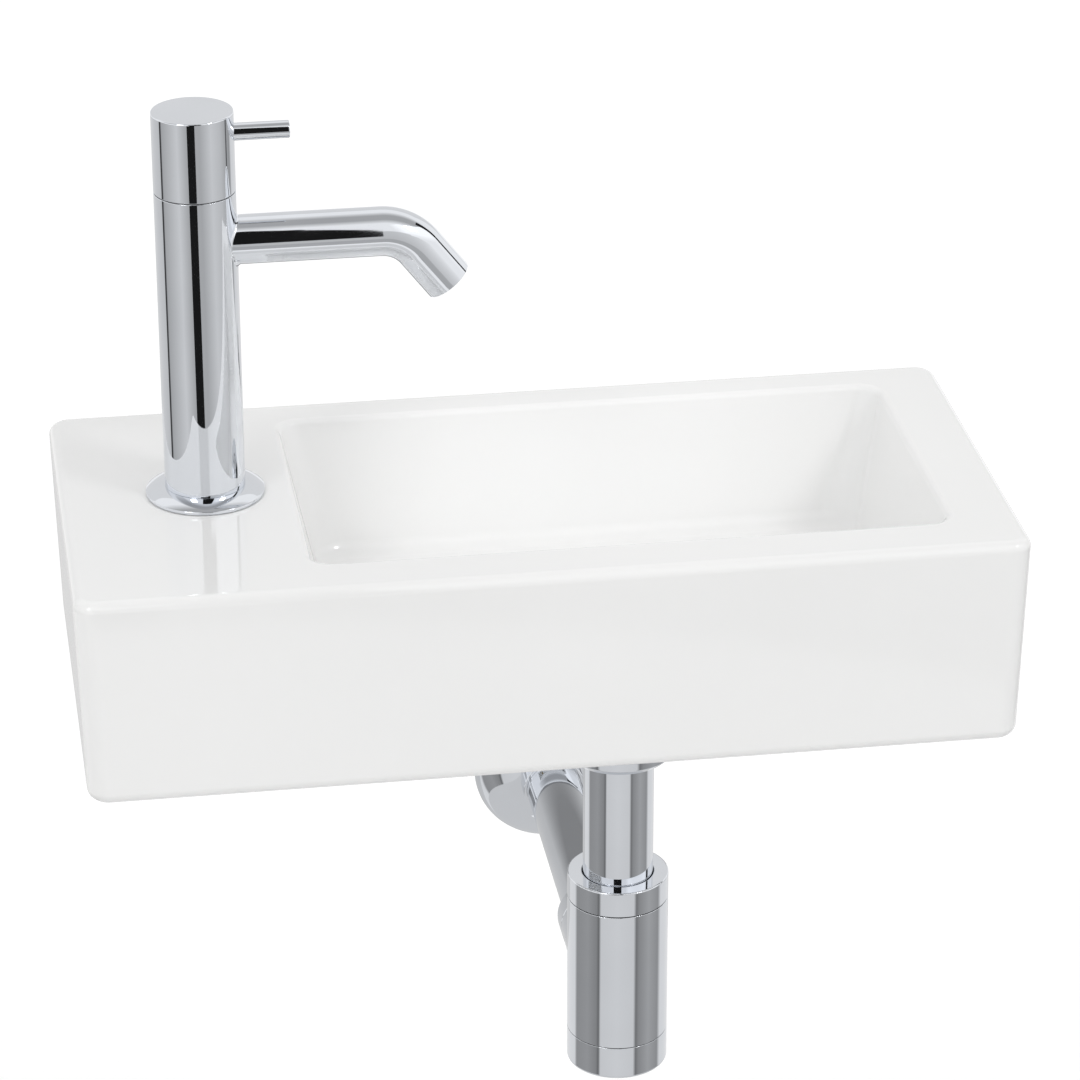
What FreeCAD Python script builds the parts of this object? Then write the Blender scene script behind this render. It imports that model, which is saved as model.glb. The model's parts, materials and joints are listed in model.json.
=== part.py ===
import FreeCAD, Part
import math
import os

# Wall-hung hand basin with a cold-water pillar tap, a grid waste and a cup trap.
# Millimetres. +X is right seen from the front, +Y points into the wall, +Z is up.
# The origin is midway between the two wall fixing holes, on the back face of the basin.

# Basin, outside
BASIN_W = 385.0
BASIN_D = 185.0
BASIN_H = 90.0
SIDE_DRAFT = 2.5
FRONT_DRAFT = 1.5
CORNER_R = 9.0
TOP_EDGE_R = 4.5
BOTTOM_EDGE_R = 5.0
BACK_GRIND = 1.5

# Basin, walls and bowl
SKIRT_T = 10.0
LEDGE_T = 14.0
CAVITY_CORNER_R = 6.0
LEDGE_W = 96.0
RIM_RIGHT = 29.0
RIM_FRONT = 25.0
RIM_BACK = 18.0
BOWL_DEPTH = 58.0
BOWL_RUN_SIDE = 13.0
BOWL_RUN_FRONT = 13.0
BOWL_RUN_BACK = 13.0
BOWL_CORNER_R = 9.0
BOWL_FLOOR_EDGE_R = 12.0
BOWL_FLOOR_CORNER_OVER_EDGE = 4.0
BOWL_RIM_EDGE_R = 3.0
BOWL_T = 9.0
FLOOR_T = 12.0

# Wall fixing holes
FIX_FROM_SIDE = 27.5
FIX_DROP = 55.0
FIX_HOLE_R = 6.0
CUT_OVERRUN = 5.0

# Fits between pieces
THREAD_CLEAR = 0.1
SLIP_CLEAR = 0.3
RUN_CLEAR = 0.06

# Tap, outside
TAP_WASHER_FROM_BOWL = 2.8
TAP_FROM_WALL = 84.5
TAP_HOLE_R = 17.0
TAP_R = 16.5
TAP_H = 165.5
HEAD_H = 33.0
SEAM_H = 1.0
EDGE_BREAK = 0.5
FLANGE_PAST_GASKET = 5.4
FLANGE_H = 4.2
FLANGE_EDGE_H = 1.6
FLANGE_LIFT = 0.3
GASKET_PAST_HOLE = 2.0
BASE_GASKET_W = 5.0
BASE_GASKET_H = 1.7

# Tap, spout and aerator
SPOUT_BELOW_SEAM = 21.5
SPOUT_R = 10.1
SPOUT_WALL = 2.0
SPOUT_RUN = 74.0
SPOUT_BEND_R = 20.0
SPOUT_BEND_DEG = 52.0
SPOUT_TIP_L = 19.0
SPOUT_SPIGOT_R = 7.4
SPOUT_SPIGOT_BORE_R = 6.0
SPOUT_ROOT_L = 3.0
AERATOR_SOCKET_WALL = 1.1
AERATOR_WALL = 1.8
AERATOR_L = 8.0
AERATOR_INSET = 0.6
AERATOR_SEAL_T = 1.2
AERATOR_DISC_T = 5.0
AERATOR_HOLE_SHARE = 0.1
AERATOR_RING_SHARES = (0.0, 0.34, 0.68)
AERATOR_RING_COUNTS = (1, 6, 12)

# Tap, shank and its fixings
SHANK_R = 10.48
SHANK_ENGAGE = 14.0
SHANK_CHAMFER = 1.0
SHANK_FREE_L = 20.0
SHANK_RELIEF_W = 1.5
SHANK_RELIEF_DEPTH = 0.9
WATERWAY_R = 5.5
WASHER_PAST_HOLE = 7.0
RUBBER_WASHER_T = 3.0
CLAMP_WASHER_INSET = 1.0
CLAMP_WASHER_T = 1.5
BACKNUT_WALL = 4.5
BACKNUT_H = 8.0

# Tap, headwork
SEAT_BELOW_SPOUT = 13.0
SEAT_SEAL_INSET = 0.2
SEAT_SEAL_T = 1.5
BODY_WALL = 6.0
CARTRIDGE_GAP = 1.9
CARTRIDGE_WALL = 2.0
HEADWORK_THREAD_L = 10.0
HEADWORK_HEX_H = 3.0
HEADWORK_NECK_R = 8.0
HEADWORK_NECK_H = 7.0
WINDOW_H = 10.0
WINDOW_W = 9.0
DISC_T = 3.0
DISC_PORT_SHARE = 0.35
DISC_PORT_AT_SHARE = 0.55
FORK_H = 2.5
FORK_W = 4.0
SPINDLE_R = 5.0
SPINDLE_WAIST_R = 3.4
SPLINE_R = 4.0
SPLINE_L = 11.0
ORING_R = 0.6
ORING_FROM_TOP = 4.0

# Tap, handle
CAP_WALL = 2.9
CAP_RECESS_H = 12.0
SLIP_RING_T = 0.8
SLIP_RING_W = 2.8
LEVER_R = 3.6
LEVER_BELOW_TOP = 9.8
LEVER_REACH = 38.5
LEVER_STUD_R = 2.5
LEVER_STUD_L = 9.0
GRUB_R = 2.0
GRUB_L = 10.0
GRUB_ABOVE_RECESS = 4.5
GRUB_KEY_FLATS = 2.0
GRUB_KEY_DEPTH = 2.5

# Waste
DRAIN_FROM_RIGHT = 152.8
DRAIN_HOLE_GAP = 3.6
DRAIN_RECESS_GAP = 1.0
DRAIN_RECESS_H = 2.5
STRAINER_R = 32.0
STRAINER_T = 2.0
STRAINER_GRID_T = 3.0
STRAINER_NECK_WALL = 1.6
STRAINER_NECK_L = 20.0
STRAINER_HOLE_SHARE = 0.12
STRAINER_RING_SHARES = (0.49, 0.81)
STRAINER_RING_COUNTS = (6, 12)
WASTE_SEAL_INSET = 1.0
WASTE_SEAL_W = 7.5
WASTE_TOP_SEAL_T = 1.5
WASTE_BOTTOM_SEAL_T = 3.0
WASTE_FLANGE_T = 4.0
WASTE_HUB_WALL = 3.05
WASTE_HUB_H = 8.0
TAIL_R = 20.95
TAIL_WALL = 2.05
TAIL_L = 55.5
WASTE_BAR_W = 8.0
WASTE_BAR_H = 6.0
WASTE_BAR_DOWN = 18.0
WASTE_SCREW_R = 3.0
WASTE_SCREW_HEAD_R = 5.5
WASTE_SCREW_HEAD_H = 1.4
WASTE_SCREW_SLOT_W = 1.2
WASTE_SCREW_SLOT_H = 0.9
WASTE_SCREW_PAST_BAR = 2.0

# Trap, inlet side
UNION_NUT_WALL = 3.55
UNION_NUT_H = 28.0
UNION_NUT_CHAMFER = 2.5
UNION_LIP_T = 2.5
UNION_SEAL_T = 2.0
INLET_TUBE_R = 15.2
INLET_TUBE_WALL = 1.0
INLET_FLANGE_T = 2.0
INLET_SHOW_L = 58.0

# Trap, bottle
BOTTLE_OVER_TUBE = 6.7
BOTTLE_WALL = 1.9
BOTTLE_H = 65.0
COLLAR_H = 11.5
COLLAR_TOP_T = 2.5
COLLAR_SEAL_T = 3.0
SEAM_CHAMFER = 0.5
COLLAR_WALL = 2.7
DIP_SEAT_DOWN = 1.0
DIP_SEAT_T = 2.5
DIP_SEAT_LEDGE = 1.6
DIP_FLANGE_T = 1.5
DIP_R = 9.5
DIP_WALL = 1.0
DIP_FUNNEL_H = 8.0
DIP_ABOVE_FLOOR = 7.8

# Trap, cleaning cup
CUP_H = 16.3
CUP_FLOOR_T = 3.0
CUP_SEAL_T = 1.0
CUP_SPIGOT_H = 6.0
CUP_SPIGOT_WALL = 1.7
CUP_SLEEVE_INSET = 5.9
CUP_SLEEVE_WALL = 0.8
CUP_SLEEVE_H = 57.8
CUP_BOTTOM_CHAMFER = 1.2

# Trap, outlet side
SOCKET_ABOVE_FOOT = 3.5
SOCKET_WALL = 1.4
SOCKET_L = 50.0
SOCKET_SPIGOT_WALL = 2.3
SOCKET_SPIGOT_L = 6.0
OUTLET_SEAL_T = 2.5
OUTLET_LIP_T = 2.5
OUTLET_TUBE_R = 13.3
OUTLET_TUBE_WALL = 1.0
OUTLET_TUBE_IN = 12.0
OUTLET_TUBE_L = 172.5
ROSETTE_R = 35.0
ROSETTE_DOME_H = 15.0
ROSETTE_NECK_H = 8.0
ROSETTE_NECK_WALL = 1.4
ROSETTE_T = 1.2
ROSETTE_FROM_END = 14.0
INSERT_MARK_W = 1.0
INSERT_MARK_DEPTH = 0.25

# Radii worked out from the sizes above
BASE_GASKET_R = TAP_HOLE_R + GASKET_PAST_HOLE
FLANGE_R = BASE_GASKET_R + FLANGE_PAST_GASKET
RUBBER_WASHER_R = TAP_HOLE_R + WASHER_PAST_HOLE
CLAMP_WASHER_R = RUBBER_WASHER_R - CLAMP_WASHER_INSET
BACKNUT_FLATS = 2 * (SHANK_R + BACKNUT_WALL)
AERATOR_R = SPOUT_R - AERATOR_SOCKET_WALL
AERATOR_BORE_R = AERATOR_R - AERATOR_WALL
CHAMBER_R = TAP_R - BODY_WALL
CARTRIDGE_R = CHAMBER_R - CARTRIDGE_GAP
CARTRIDGE_BORE_R = CARTRIDGE_R - CARTRIDGE_WALL
SEAT_SEAL_R = CARTRIDGE_R - SEAT_SEAL_INSET
HEADWORK_HEX_FLATS = 2 * CHAMBER_R
CAP_RECESS_R = TAP_R - CAP_WALL
TAIL_BORE_R = TAIL_R - TAIL_WALL
DRAIN_HOLE_R = TAIL_BORE_R + DRAIN_HOLE_GAP
DRAIN_RECESS_R = STRAINER_R + DRAIN_RECESS_GAP
STRAINER_NECK_R = TAIL_BORE_R - SLIP_CLEAR
STRAINER_BORE_R = STRAINER_NECK_R - STRAINER_NECK_WALL
WASTE_SEAL_R = STRAINER_R - WASTE_SEAL_INSET
WASTE_HUB_R = TAIL_R + WASTE_HUB_WALL
UNION_NUT_R = TAIL_R + UNION_NUT_WALL
INLET_FLANGE_R = TAIL_R - SLIP_CLEAR
BOTTLE_R = INLET_TUBE_R + BOTTLE_OVER_TUBE
SPIGOT_R = BOTTLE_R - COLLAR_WALL
DIP_SEAT_BORE_R = INLET_TUBE_R - DIP_SEAT_LEDGE
CUP_SLEEVE_R = BOTTLE_R - CUP_SLEEVE_INSET
SOCKET_SPIGOT_R = OUTLET_TUBE_R + SOCKET_SPIGOT_WALL
SOCKET_R = SOCKET_SPIGOT_R + SOCKET_WALL
BOWL_FLOOR_CORNER_R = BOWL_FLOOR_EDGE_R + BOWL_FLOOR_CORNER_OVER_EDGE

# Places worked out from the sizes above
FIX_SPACING = BASIN_W - 2 * FIX_FROM_SIDE
RIM_Z = FIX_DROP
LEFT_X = -BASIN_W / 2
RIGHT_X = BASIN_W / 2
BOWL_LEFT = LEFT_X + LEDGE_W
BOWL_RIGHT = RIGHT_X - RIM_RIGHT
BOWL_FRONT = -BASIN_D + RIM_FRONT
BOWL_BACK = -RIM_BACK
FLOOR_LEFT = BOWL_LEFT + BOWL_RUN_SIDE
FLOOR_RIGHT = BOWL_RIGHT - BOWL_RUN_SIDE
FLOOR_FRONT = BOWL_FRONT + BOWL_RUN_FRONT
FLOOR_BACK = BOWL_BACK - BOWL_RUN_BACK
TAP_X = BOWL_LEFT - BOWL_T - TAP_WASHER_FROM_BOWL - RUBBER_WASHER_R
TAP_Y = -TAP_FROM_WALL
DRAIN_X = RIGHT_X - DRAIN_FROM_RIGHT
DRAIN_Y = (FLOOR_FRONT + FLOOR_BACK) / 2

# Heights above the rim on the tap's axis
CAP_FOOT = TAP_H - HEAD_H
BODY_TOP = CAP_FOOT - SEAM_H
SPOUT_UP = BODY_TOP - SPOUT_BELOW_SEAM
SEAT_UP = SPOUT_UP - SEAT_BELOW_SPOUT
LEVER_UP = TAP_H - LEVER_BELOW_TOP
CAP_RECESS_TOP = CAP_FOOT + CAP_RECESS_H
GRUB_UP = CAP_RECESS_TOP + GRUB_ABOVE_RECESS
SHANK_TOP = FLANGE_H + SHANK_ENGAGE
NECK_TOP = BODY_TOP + HEADWORK_HEX_H + HEADWORK_NECK_H
CARTRIDGE_FOOT = SEAT_UP + SEAT_SEAL_T
FORK_FOOT = CARTRIDGE_FOOT + 2 * DISC_T
HEADWORK_THREAD_FOOT = BODY_TOP - HEADWORK_THREAD_L
SPLINE_TOP = NECK_TOP + SPLINE_L

# Heights below the rim under the ledge
CLAMP_WASHER_TOP = -LEDGE_T - RUBBER_WASHER_T
BACKNUT_TOP = CLAMP_WASHER_TOP - CLAMP_WASHER_T
BACKNUT_FOOT = BACKNUT_TOP - BACKNUT_H

# Heights below the rim on the drain's axis
FLOOR_Z = -BOWL_DEPTH
UNDER_Z = FLOOR_Z - FLOOR_T
STRAINER_FOOT = FLOOR_Z - DRAIN_RECESS_H + WASTE_TOP_SEAL_T
STRAINER_TOP = STRAINER_FOOT + STRAINER_T
WASTE_FLANGE_TOP = UNDER_Z - WASTE_BOTTOM_SEAL_T
WASTE_HUB_FOOT = WASTE_FLANGE_TOP - WASTE_FLANGE_T - WASTE_HUB_H
WASTE_BAR_TOP = UNDER_Z - WASTE_BAR_DOWN
TAIL_FOOT = UNDER_Z - TAIL_L
INLET_TOP = TAIL_FOOT - UNION_SEAL_T
UNION_LIP_TOP = INLET_TOP - INLET_FLANGE_T
UNION_FOOT = UNION_LIP_TOP - UNION_LIP_T
COLLAR_TOP = UNION_FOOT - INLET_SHOW_L
SHOULDER_Z = COLLAR_TOP - COLLAR_H
SPIGOT_TOP = COLLAR_TOP - COLLAR_TOP_T - COLLAR_SEAL_T
DIP_SEAT_TOP = SHOULDER_Z - DIP_SEAT_DOWN
DIP_SEAT_FOOT = DIP_SEAT_TOP - DIP_SEAT_T
INLET_FOOT = DIP_SEAT_TOP + DIP_FLANGE_T
BOTTLE_FOOT = SHOULDER_Z - BOTTLE_H
CUP_TOP = BOTTLE_FOOT - CUP_SEAL_T
CUP_FOOT = BOTTLE_FOOT - CUP_H
CUP_FLOOR = CUP_FOOT + CUP_FLOOR_T
OUTLET_Z = BOTTLE_FOOT + SOCKET_ABOVE_FOOT + SOCKET_R

# Distances behind the drain's axis on the outlet's axis
SPIGOT_END = SOCKET_L + SOCKET_SPIGOT_L
OUTLET_LIP_AT = SPIGOT_END + OUTLET_SEAL_T
TUBE_START = SPIGOT_END - OUTLET_TUBE_IN
TUBE_END = TUBE_START + OUTLET_TUBE_L
ROSETTE_BACK = TUBE_END - ROSETTE_FROM_END
UP = FreeCAD.Vector(0, 0, 1)
RIGHT = FreeCAD.Vector(1, 0, 0)
BACK = FreeCAD.Vector(0, 1, 0)


def vec(x, y, z):
    return FreeCAD.Vector(x, y, z)


def moved(shape, x, y, z):
    copy = shape.copy()
    copy.translate(vec(x, y, z))
    return copy


def at_tap(shape):
    return moved(shape, TAP_X, TAP_Y, RIM_Z)


def at_drain(shape):
    return moved(shape, DRAIN_X, DRAIN_Y, RIM_Z)


def along_outlet(shape):
    # A piece built up the Z axis is laid along +Y, level with the outlet
    copy = shape.copy()
    copy.rotate(vec(0, 0, 0), RIGHT, -90)
    copy.translate(vec(DRAIN_X, DRAIN_Y, RIM_Z + OUTLET_Z))
    return copy


def rod(radius, z0, z1):
    return Part.makeCylinder(radius, z1 - z0, vec(0, 0, z0))


def ring(outer_r, inner_r, z0, z1):
    return rod(outer_r, z0, z1).cut(rod(inner_r, z0, z1))


def turned(profile):
    # Closed outline of (radius, height) points, turned about the Z axis
    points = [vec(radius, 0, height) for radius, height in profile]
    face = Part.Face(Part.makePolygon(points + points[:1]))
    return face.revolve(vec(0, 0, 0), UP, 360)


def hexagon(across_flats, z0, z1):
    corner_r = across_flats / math.sqrt(3)
    points = []
    for index in range(6):
        angle = math.radians(60 * index)
        points.append(vec(corner_r * math.cos(angle), corner_r * math.sin(angle), z0))
    face = Part.Face(Part.makePolygon(points + points[:1]))
    return face.extrude(vec(0, 0, z1 - z0))


def hole_grid(hole_r, radii, counts, z0, z1):
    # Rings of holes, each with its radius and its number of holes
    holes = []
    for ring_r, count in zip(radii, counts):
        for index in range(count):
            angle = 2 * math.pi * index / count
            hole = rod(hole_r, z0, z1)
            holes.append(moved(hole, ring_r * math.cos(angle), ring_r * math.sin(angle), 0))
    return Part.makeCompound(holes)


def rounded_rectangle(x0, x1, y0, y1, corner_r, z):
    flat = Part.makePlane(x1 - x0, y1 - y0, vec(x0, y0, z))
    block = flat.extrude(UP)
    uprights = [edge for edge in block.Edges if abs(edge.tangentAt(edge.FirstParameter).z) > 0.5]
    block = block.makeFillet(corner_r, uprights)
    foot = min(block.Faces, key=lambda face: face.CenterOfMass.z)
    return foot.OuterWire


def edges_at(shape, z, x0, x1, y0, y1):
    # Edges that lie wholly in the level z and within the given rectangle
    found = []
    margin = 0.01
    for edge in shape.Edges:
        box = edge.BoundBox
        level = abs(box.ZMin - z) < margin and abs(box.ZMax - z) < margin
        in_x = box.XMin > x0 - margin and box.XMax < x1 + margin
        in_y = box.YMin > y0 - margin and box.YMax < y1 + margin
        if level and in_x and in_y:
            found.append(edge)
    return found


def basin_block():
    foot_z = RIM_Z - BASIN_H
    foot_front = -BASIN_D + FRONT_DRAFT
    foot_left = LEFT_X + SIDE_DRAFT
    foot = rounded_rectangle(foot_left, -foot_left, foot_front, BACK_GRIND, CORNER_R, foot_z)
    top = rounded_rectangle(LEFT_X, RIGHT_X, -BASIN_D, BACK_GRIND, CORNER_R, RIM_Z)
    block = Part.makeLoft([foot, top], True, True)
    block = block.makeFillet(TOP_EDGE_R, edges_at(block, RIM_Z, LEFT_X, RIGHT_X, -BASIN_D, BACK_GRIND))
    block = block.makeFillet(BOTTOM_EDGE_R, edges_at(block, foot_z, LEFT_X, RIGHT_X, -BASIN_D, BACK_GRIND))
    # The back is ground flat where it meets the wall
    ground = Part.makeBox(BASIN_W, BACK_GRIND + CUT_OVERRUN, BASIN_H, vec(LEFT_X, 0, foot_z))
    return block.cut(ground)


def bowl_form(grow, floor_z):
    # The bowl's hollow, or with grow the outside of its ceramic wall
    top = rounded_rectangle(BOWL_LEFT - grow, BOWL_RIGHT + grow, BOWL_FRONT - grow, BOWL_BACK + grow,
                            BOWL_CORNER_R + grow, RIM_Z)
    floor = rounded_rectangle(FLOOR_LEFT - grow, FLOOR_RIGHT + grow, FLOOR_FRONT - grow, FLOOR_BACK + grow,
                              BOWL_FLOOR_CORNER_R + grow, RIM_Z + floor_z)
    return Part.makeLoft([floor, top], True, True)


def underside_hollow():
    foot_z = RIM_Z - BASIN_H
    left = LEFT_X + SIDE_DRAFT + SKIRT_T
    front = -BASIN_D + FRONT_DRAFT + SKIRT_T
    plan = rounded_rectangle(left, -left, front, -SKIRT_T, CAVITY_CORNER_R, foot_z)
    return Part.Face(plan).extrude(vec(0, 0, BASIN_H - LEDGE_T))


def basin():
    hollow = bowl_form(0, FLOOR_Z)
    floor_edges = edges_at(hollow, RIM_Z + FLOOR_Z, FLOOR_LEFT, FLOOR_RIGHT, FLOOR_FRONT, FLOOR_BACK)
    hollow = hollow.makeFillet(BOWL_FLOOR_EDGE_R, floor_edges)
    shape = basin_block().cut(underside_hollow().cut(bowl_form(BOWL_T, UNDER_Z))).cut(hollow)
    rim_edges = edges_at(shape, RIM_Z, BOWL_LEFT, BOWL_RIGHT, BOWL_FRONT, BOWL_BACK)
    shape = shape.makeFillet(BOWL_RIM_EDGE_R, rim_edges)
    shape = shape.cut(at_tap(rod(TAP_HOLE_R, -LEDGE_T - EDGE_BREAK, EDGE_BREAK)))
    shape = shape.cut(at_drain(rod(DRAIN_HOLE_R, UNDER_Z - EDGE_BREAK, FLOOR_Z)))
    shape = shape.cut(at_drain(rod(DRAIN_RECESS_R, FLOOR_Z - DRAIN_RECESS_H, FLOOR_Z + EDGE_BREAK)))
    for side in (-1, 1):
        start = vec(side * FIX_SPACING / 2, -SKIRT_T - CUT_OVERRUN, 0)
        shape = shape.cut(Part.makeCylinder(FIX_HOLE_R, SKIRT_T + 2 * CUT_OVERRUN, start, BACK))
    return shape


def tap_base_flange():
    # The top is level at the column and falls away in one arc to the thin edge
    bore = SHANK_R + SLIP_CLEAR
    fall = FLANGE_H - FLANGE_EDGE_H
    spread = FLANGE_R - TAP_R
    arc_r = (spread ** 2 + fall ** 2) / (2 * fall)
    half = math.atan2(fall, spread)
    top = vec(TAP_R, 0, FLANGE_H)
    edge = vec(FLANGE_R, 0, FLANGE_EDGE_H)
    middle = vec(TAP_R + arc_r * math.sin(half), 0, FLANGE_H - arc_r * (1 - math.cos(half)))
    corners = [top, vec(bore, 0, FLANGE_H), vec(bore, 0, FLANGE_LIFT), vec(FLANGE_R, 0, FLANGE_LIFT), edge]
    edges = [Part.LineSegment(a, b).toShape() for a, b in zip(corners, corners[1:])]
    edges.append(Part.Arc(edge, middle, top).toShape())
    dome = Part.Face(Part.Wire(edges)).revolve(vec(0, 0, 0), UP, 360)
    groove_inner = BASE_GASKET_R - BASE_GASKET_W - THREAD_CLEAR
    groove = ring(BASE_GASKET_R + THREAD_CLEAR, groove_inner, 0, BASE_GASKET_H)
    return at_tap(dome.cut(groove))


def tap_base_gasket():
    return at_tap(ring(BASE_GASKET_R, BASE_GASKET_R - BASE_GASKET_W, 0, BASE_GASKET_H))


def tap_body():
    shell = turned([(0, FLANGE_H), (TAP_R, FLANGE_H), (TAP_R, BODY_TOP - EDGE_BREAK),
                    (TAP_R - EDGE_BREAK, BODY_TOP), (0, BODY_TOP)])
    shell = shell.cut(rod(SHANK_R + THREAD_CLEAR, FLANGE_H, SHANK_TOP))
    shell = shell.cut(rod(WATERWAY_R, FLANGE_H, SEAT_UP))
    shell = shell.cut(rod(CHAMBER_R, SEAT_UP, BODY_TOP))
    port_l = TAP_R + CUT_OVERRUN
    port = Part.makeCylinder(SPOUT_SPIGOT_R + THREAD_CLEAR, port_l, vec(0, 0, SPOUT_UP), RIGHT)
    return at_tap(shell.cut(port))


def spout_path(start_x):
    # Level run, bend and straight tip, in the plane through the tap's axis
    turn = math.radians(SPOUT_BEND_DEG)
    half = turn / 2
    centre_z = SPOUT_UP - SPOUT_BEND_R
    bend_start = vec(SPOUT_RUN, 0, SPOUT_UP)
    bend_mid = vec(SPOUT_RUN + SPOUT_BEND_R * math.sin(half), 0, centre_z + SPOUT_BEND_R * math.cos(half))
    bend_end = vec(SPOUT_RUN + SPOUT_BEND_R * math.sin(turn), 0, centre_z + SPOUT_BEND_R * math.cos(turn))
    aim = vec(math.cos(turn), 0, -math.sin(turn))
    tip = bend_end + aim * SPOUT_TIP_L
    level = Part.LineSegment(vec(start_x, 0, SPOUT_UP), bend_start).toShape()
    bend = Part.Arc(bend_start, bend_mid, bend_end).toShape()
    straight = Part.LineSegment(bend_end, tip).toShape()
    return Part.Wire([level, bend, straight]), tip, aim


def swept(radius, start_x):
    path, tip, aim = spout_path(start_x)
    section = Part.Wire([Part.makeCircle(radius, vec(start_x, 0, SPOUT_UP), RIGHT)])
    return path.makePipeShell([section], True, False)


def at_tip(shape):
    # A piece built up the Z axis from its mouth is set on the spout's tip, mouth outwards
    path, tip, aim = spout_path(TAP_R)
    copy = shape.copy()
    copy.Placement = FreeCAD.Placement(tip, FreeCAD.Rotation(UP, aim * -1))
    return at_tap(copy)


def tap_spout():
    bore_start = TAP_R + SPOUT_ROOT_L
    tube = swept(SPOUT_R, 0).cut(rod(TAP_R, 0, TAP_H))
    spigot_start = CHAMBER_R + SLIP_CLEAR
    spigot_at = vec(spigot_start, 0, SPOUT_UP)
    spigot = Part.makeCylinder(SPOUT_SPIGOT_R, bore_start - spigot_start, spigot_at, RIGHT)
    tube = tube.fuse(spigot).cut(swept(SPOUT_R - SPOUT_WALL, bore_start))
    tube = tube.cut(Part.makeCylinder(SPOUT_SPIGOT_BORE_R, bore_start, vec(0, 0, SPOUT_UP), RIGHT))
    seat = rod(AERATOR_R + THREAD_CLEAR, 0, AERATOR_INSET + AERATOR_L + AERATOR_SEAL_T)
    return at_tap(tube).cut(at_tip(seat)).removeSplitter()


def aerator_housing():
    bore = AERATOR_BORE_R
    ledge = bore - AERATOR_WALL / 2
    foot = AERATOR_INSET
    top = AERATOR_INSET + AERATOR_L
    return at_tip(turned([(ledge, foot), (AERATOR_R, foot), (AERATOR_R, top), (bore, top),
                          (bore, foot + EDGE_BREAK), (ledge, foot + EDGE_BREAK)]))


def aerator_insert():
    foot = AERATOR_INSET + EDGE_BREAK
    top = foot + AERATOR_DISC_T
    disc = rod(AERATOR_BORE_R - THREAD_CLEAR, foot, top)
    radii = [share * AERATOR_BORE_R for share in AERATOR_RING_SHARES]
    holes = hole_grid(AERATOR_HOLE_SHARE * AERATOR_BORE_R, radii, AERATOR_RING_COUNTS, foot, top)
    return at_tip(disc.cut(holes))


def aerator_seal():
    foot = AERATOR_INSET + AERATOR_L
    return at_tip(ring(AERATOR_R, AERATOR_BORE_R, foot, foot + AERATOR_SEAL_T))


def tap_shank():
    # A relief groove parts the backnut's thread from the free end that the supply screws on
    foot = BACKNUT_FOOT - SHANK_RELIEF_W - SHANK_FREE_L
    relief_top = BACKNUT_FOOT
    relief_foot = BACKNUT_FOOT - SHANK_RELIEF_W
    relief_r = SHANK_R - SHANK_RELIEF_DEPTH
    return at_tap(turned([(WATERWAY_R, foot), (SHANK_R - SHANK_CHAMFER, foot),
                          (SHANK_R, foot + SHANK_CHAMFER), (SHANK_R, relief_foot),
                          (relief_r, relief_foot), (relief_r, relief_top),
                          (SHANK_R, relief_top), (SHANK_R, SHANK_TOP), (WATERWAY_R, SHANK_TOP)]))


def shank_rubber_washer():
    return at_tap(ring(RUBBER_WASHER_R, SHANK_R + SLIP_CLEAR, CLAMP_WASHER_TOP, -LEDGE_T))


def shank_clamp_washer():
    return at_tap(ring(CLAMP_WASHER_R, SHANK_R + SLIP_CLEAR, BACKNUT_TOP, CLAMP_WASHER_TOP))


def shank_backnut():
    nut = hexagon(BACKNUT_FLATS, BACKNUT_FOOT, BACKNUT_TOP)
    return at_tap(nut.cut(rod(SHANK_R + THREAD_CLEAR, BACKNUT_FOOT, BACKNUT_TOP)))


def headwork_seat_seal():
    return at_tap(ring(SEAT_SEAL_R, WATERWAY_R, SEAT_UP, CARTRIDGE_FOOT))


def headwork_body():
    neck_bore = SPINDLE_R + RUN_CLEAR
    shell = rod(CARTRIDGE_R, CARTRIDGE_FOOT, HEADWORK_THREAD_FOOT)
    shell = shell.fuse(rod(CHAMBER_R - THREAD_CLEAR, HEADWORK_THREAD_FOOT, BODY_TOP))
    shell = shell.fuse(hexagon(HEADWORK_HEX_FLATS, BODY_TOP, BODY_TOP + HEADWORK_HEX_H))
    shell = shell.fuse(rod(HEADWORK_NECK_R, BODY_TOP + HEADWORK_HEX_H, NECK_TOP))
    shell = shell.cut(rod(CARTRIDGE_BORE_R, CARTRIDGE_FOOT, HEADWORK_THREAD_FOOT))
    shell = shell.cut(rod(neck_bore, HEADWORK_THREAD_FOOT, NECK_TOP))
    window_foot = FORK_FOOT + FORK_H
    window = Part.makeBox(2 * TAP_R, WINDOW_W, WINDOW_H, vec(-TAP_R, -WINDOW_W / 2, window_foot))
    return at_tap(shell.cut(window).removeSplitter())


def ceramic_disc(foot, angle):
    disc = rod(CARTRIDGE_BORE_R - THREAD_CLEAR, foot, foot + DISC_T)
    port_r = DISC_PORT_SHARE * CARTRIDGE_BORE_R
    port_at = DISC_PORT_AT_SHARE * CARTRIDGE_BORE_R
    ports = hole_grid(port_r, [port_at], [2], foot, foot + DISC_T)
    ports.rotate(vec(0, 0, 0), UP, angle)
    return at_tap(disc.cut(ports))


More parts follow.
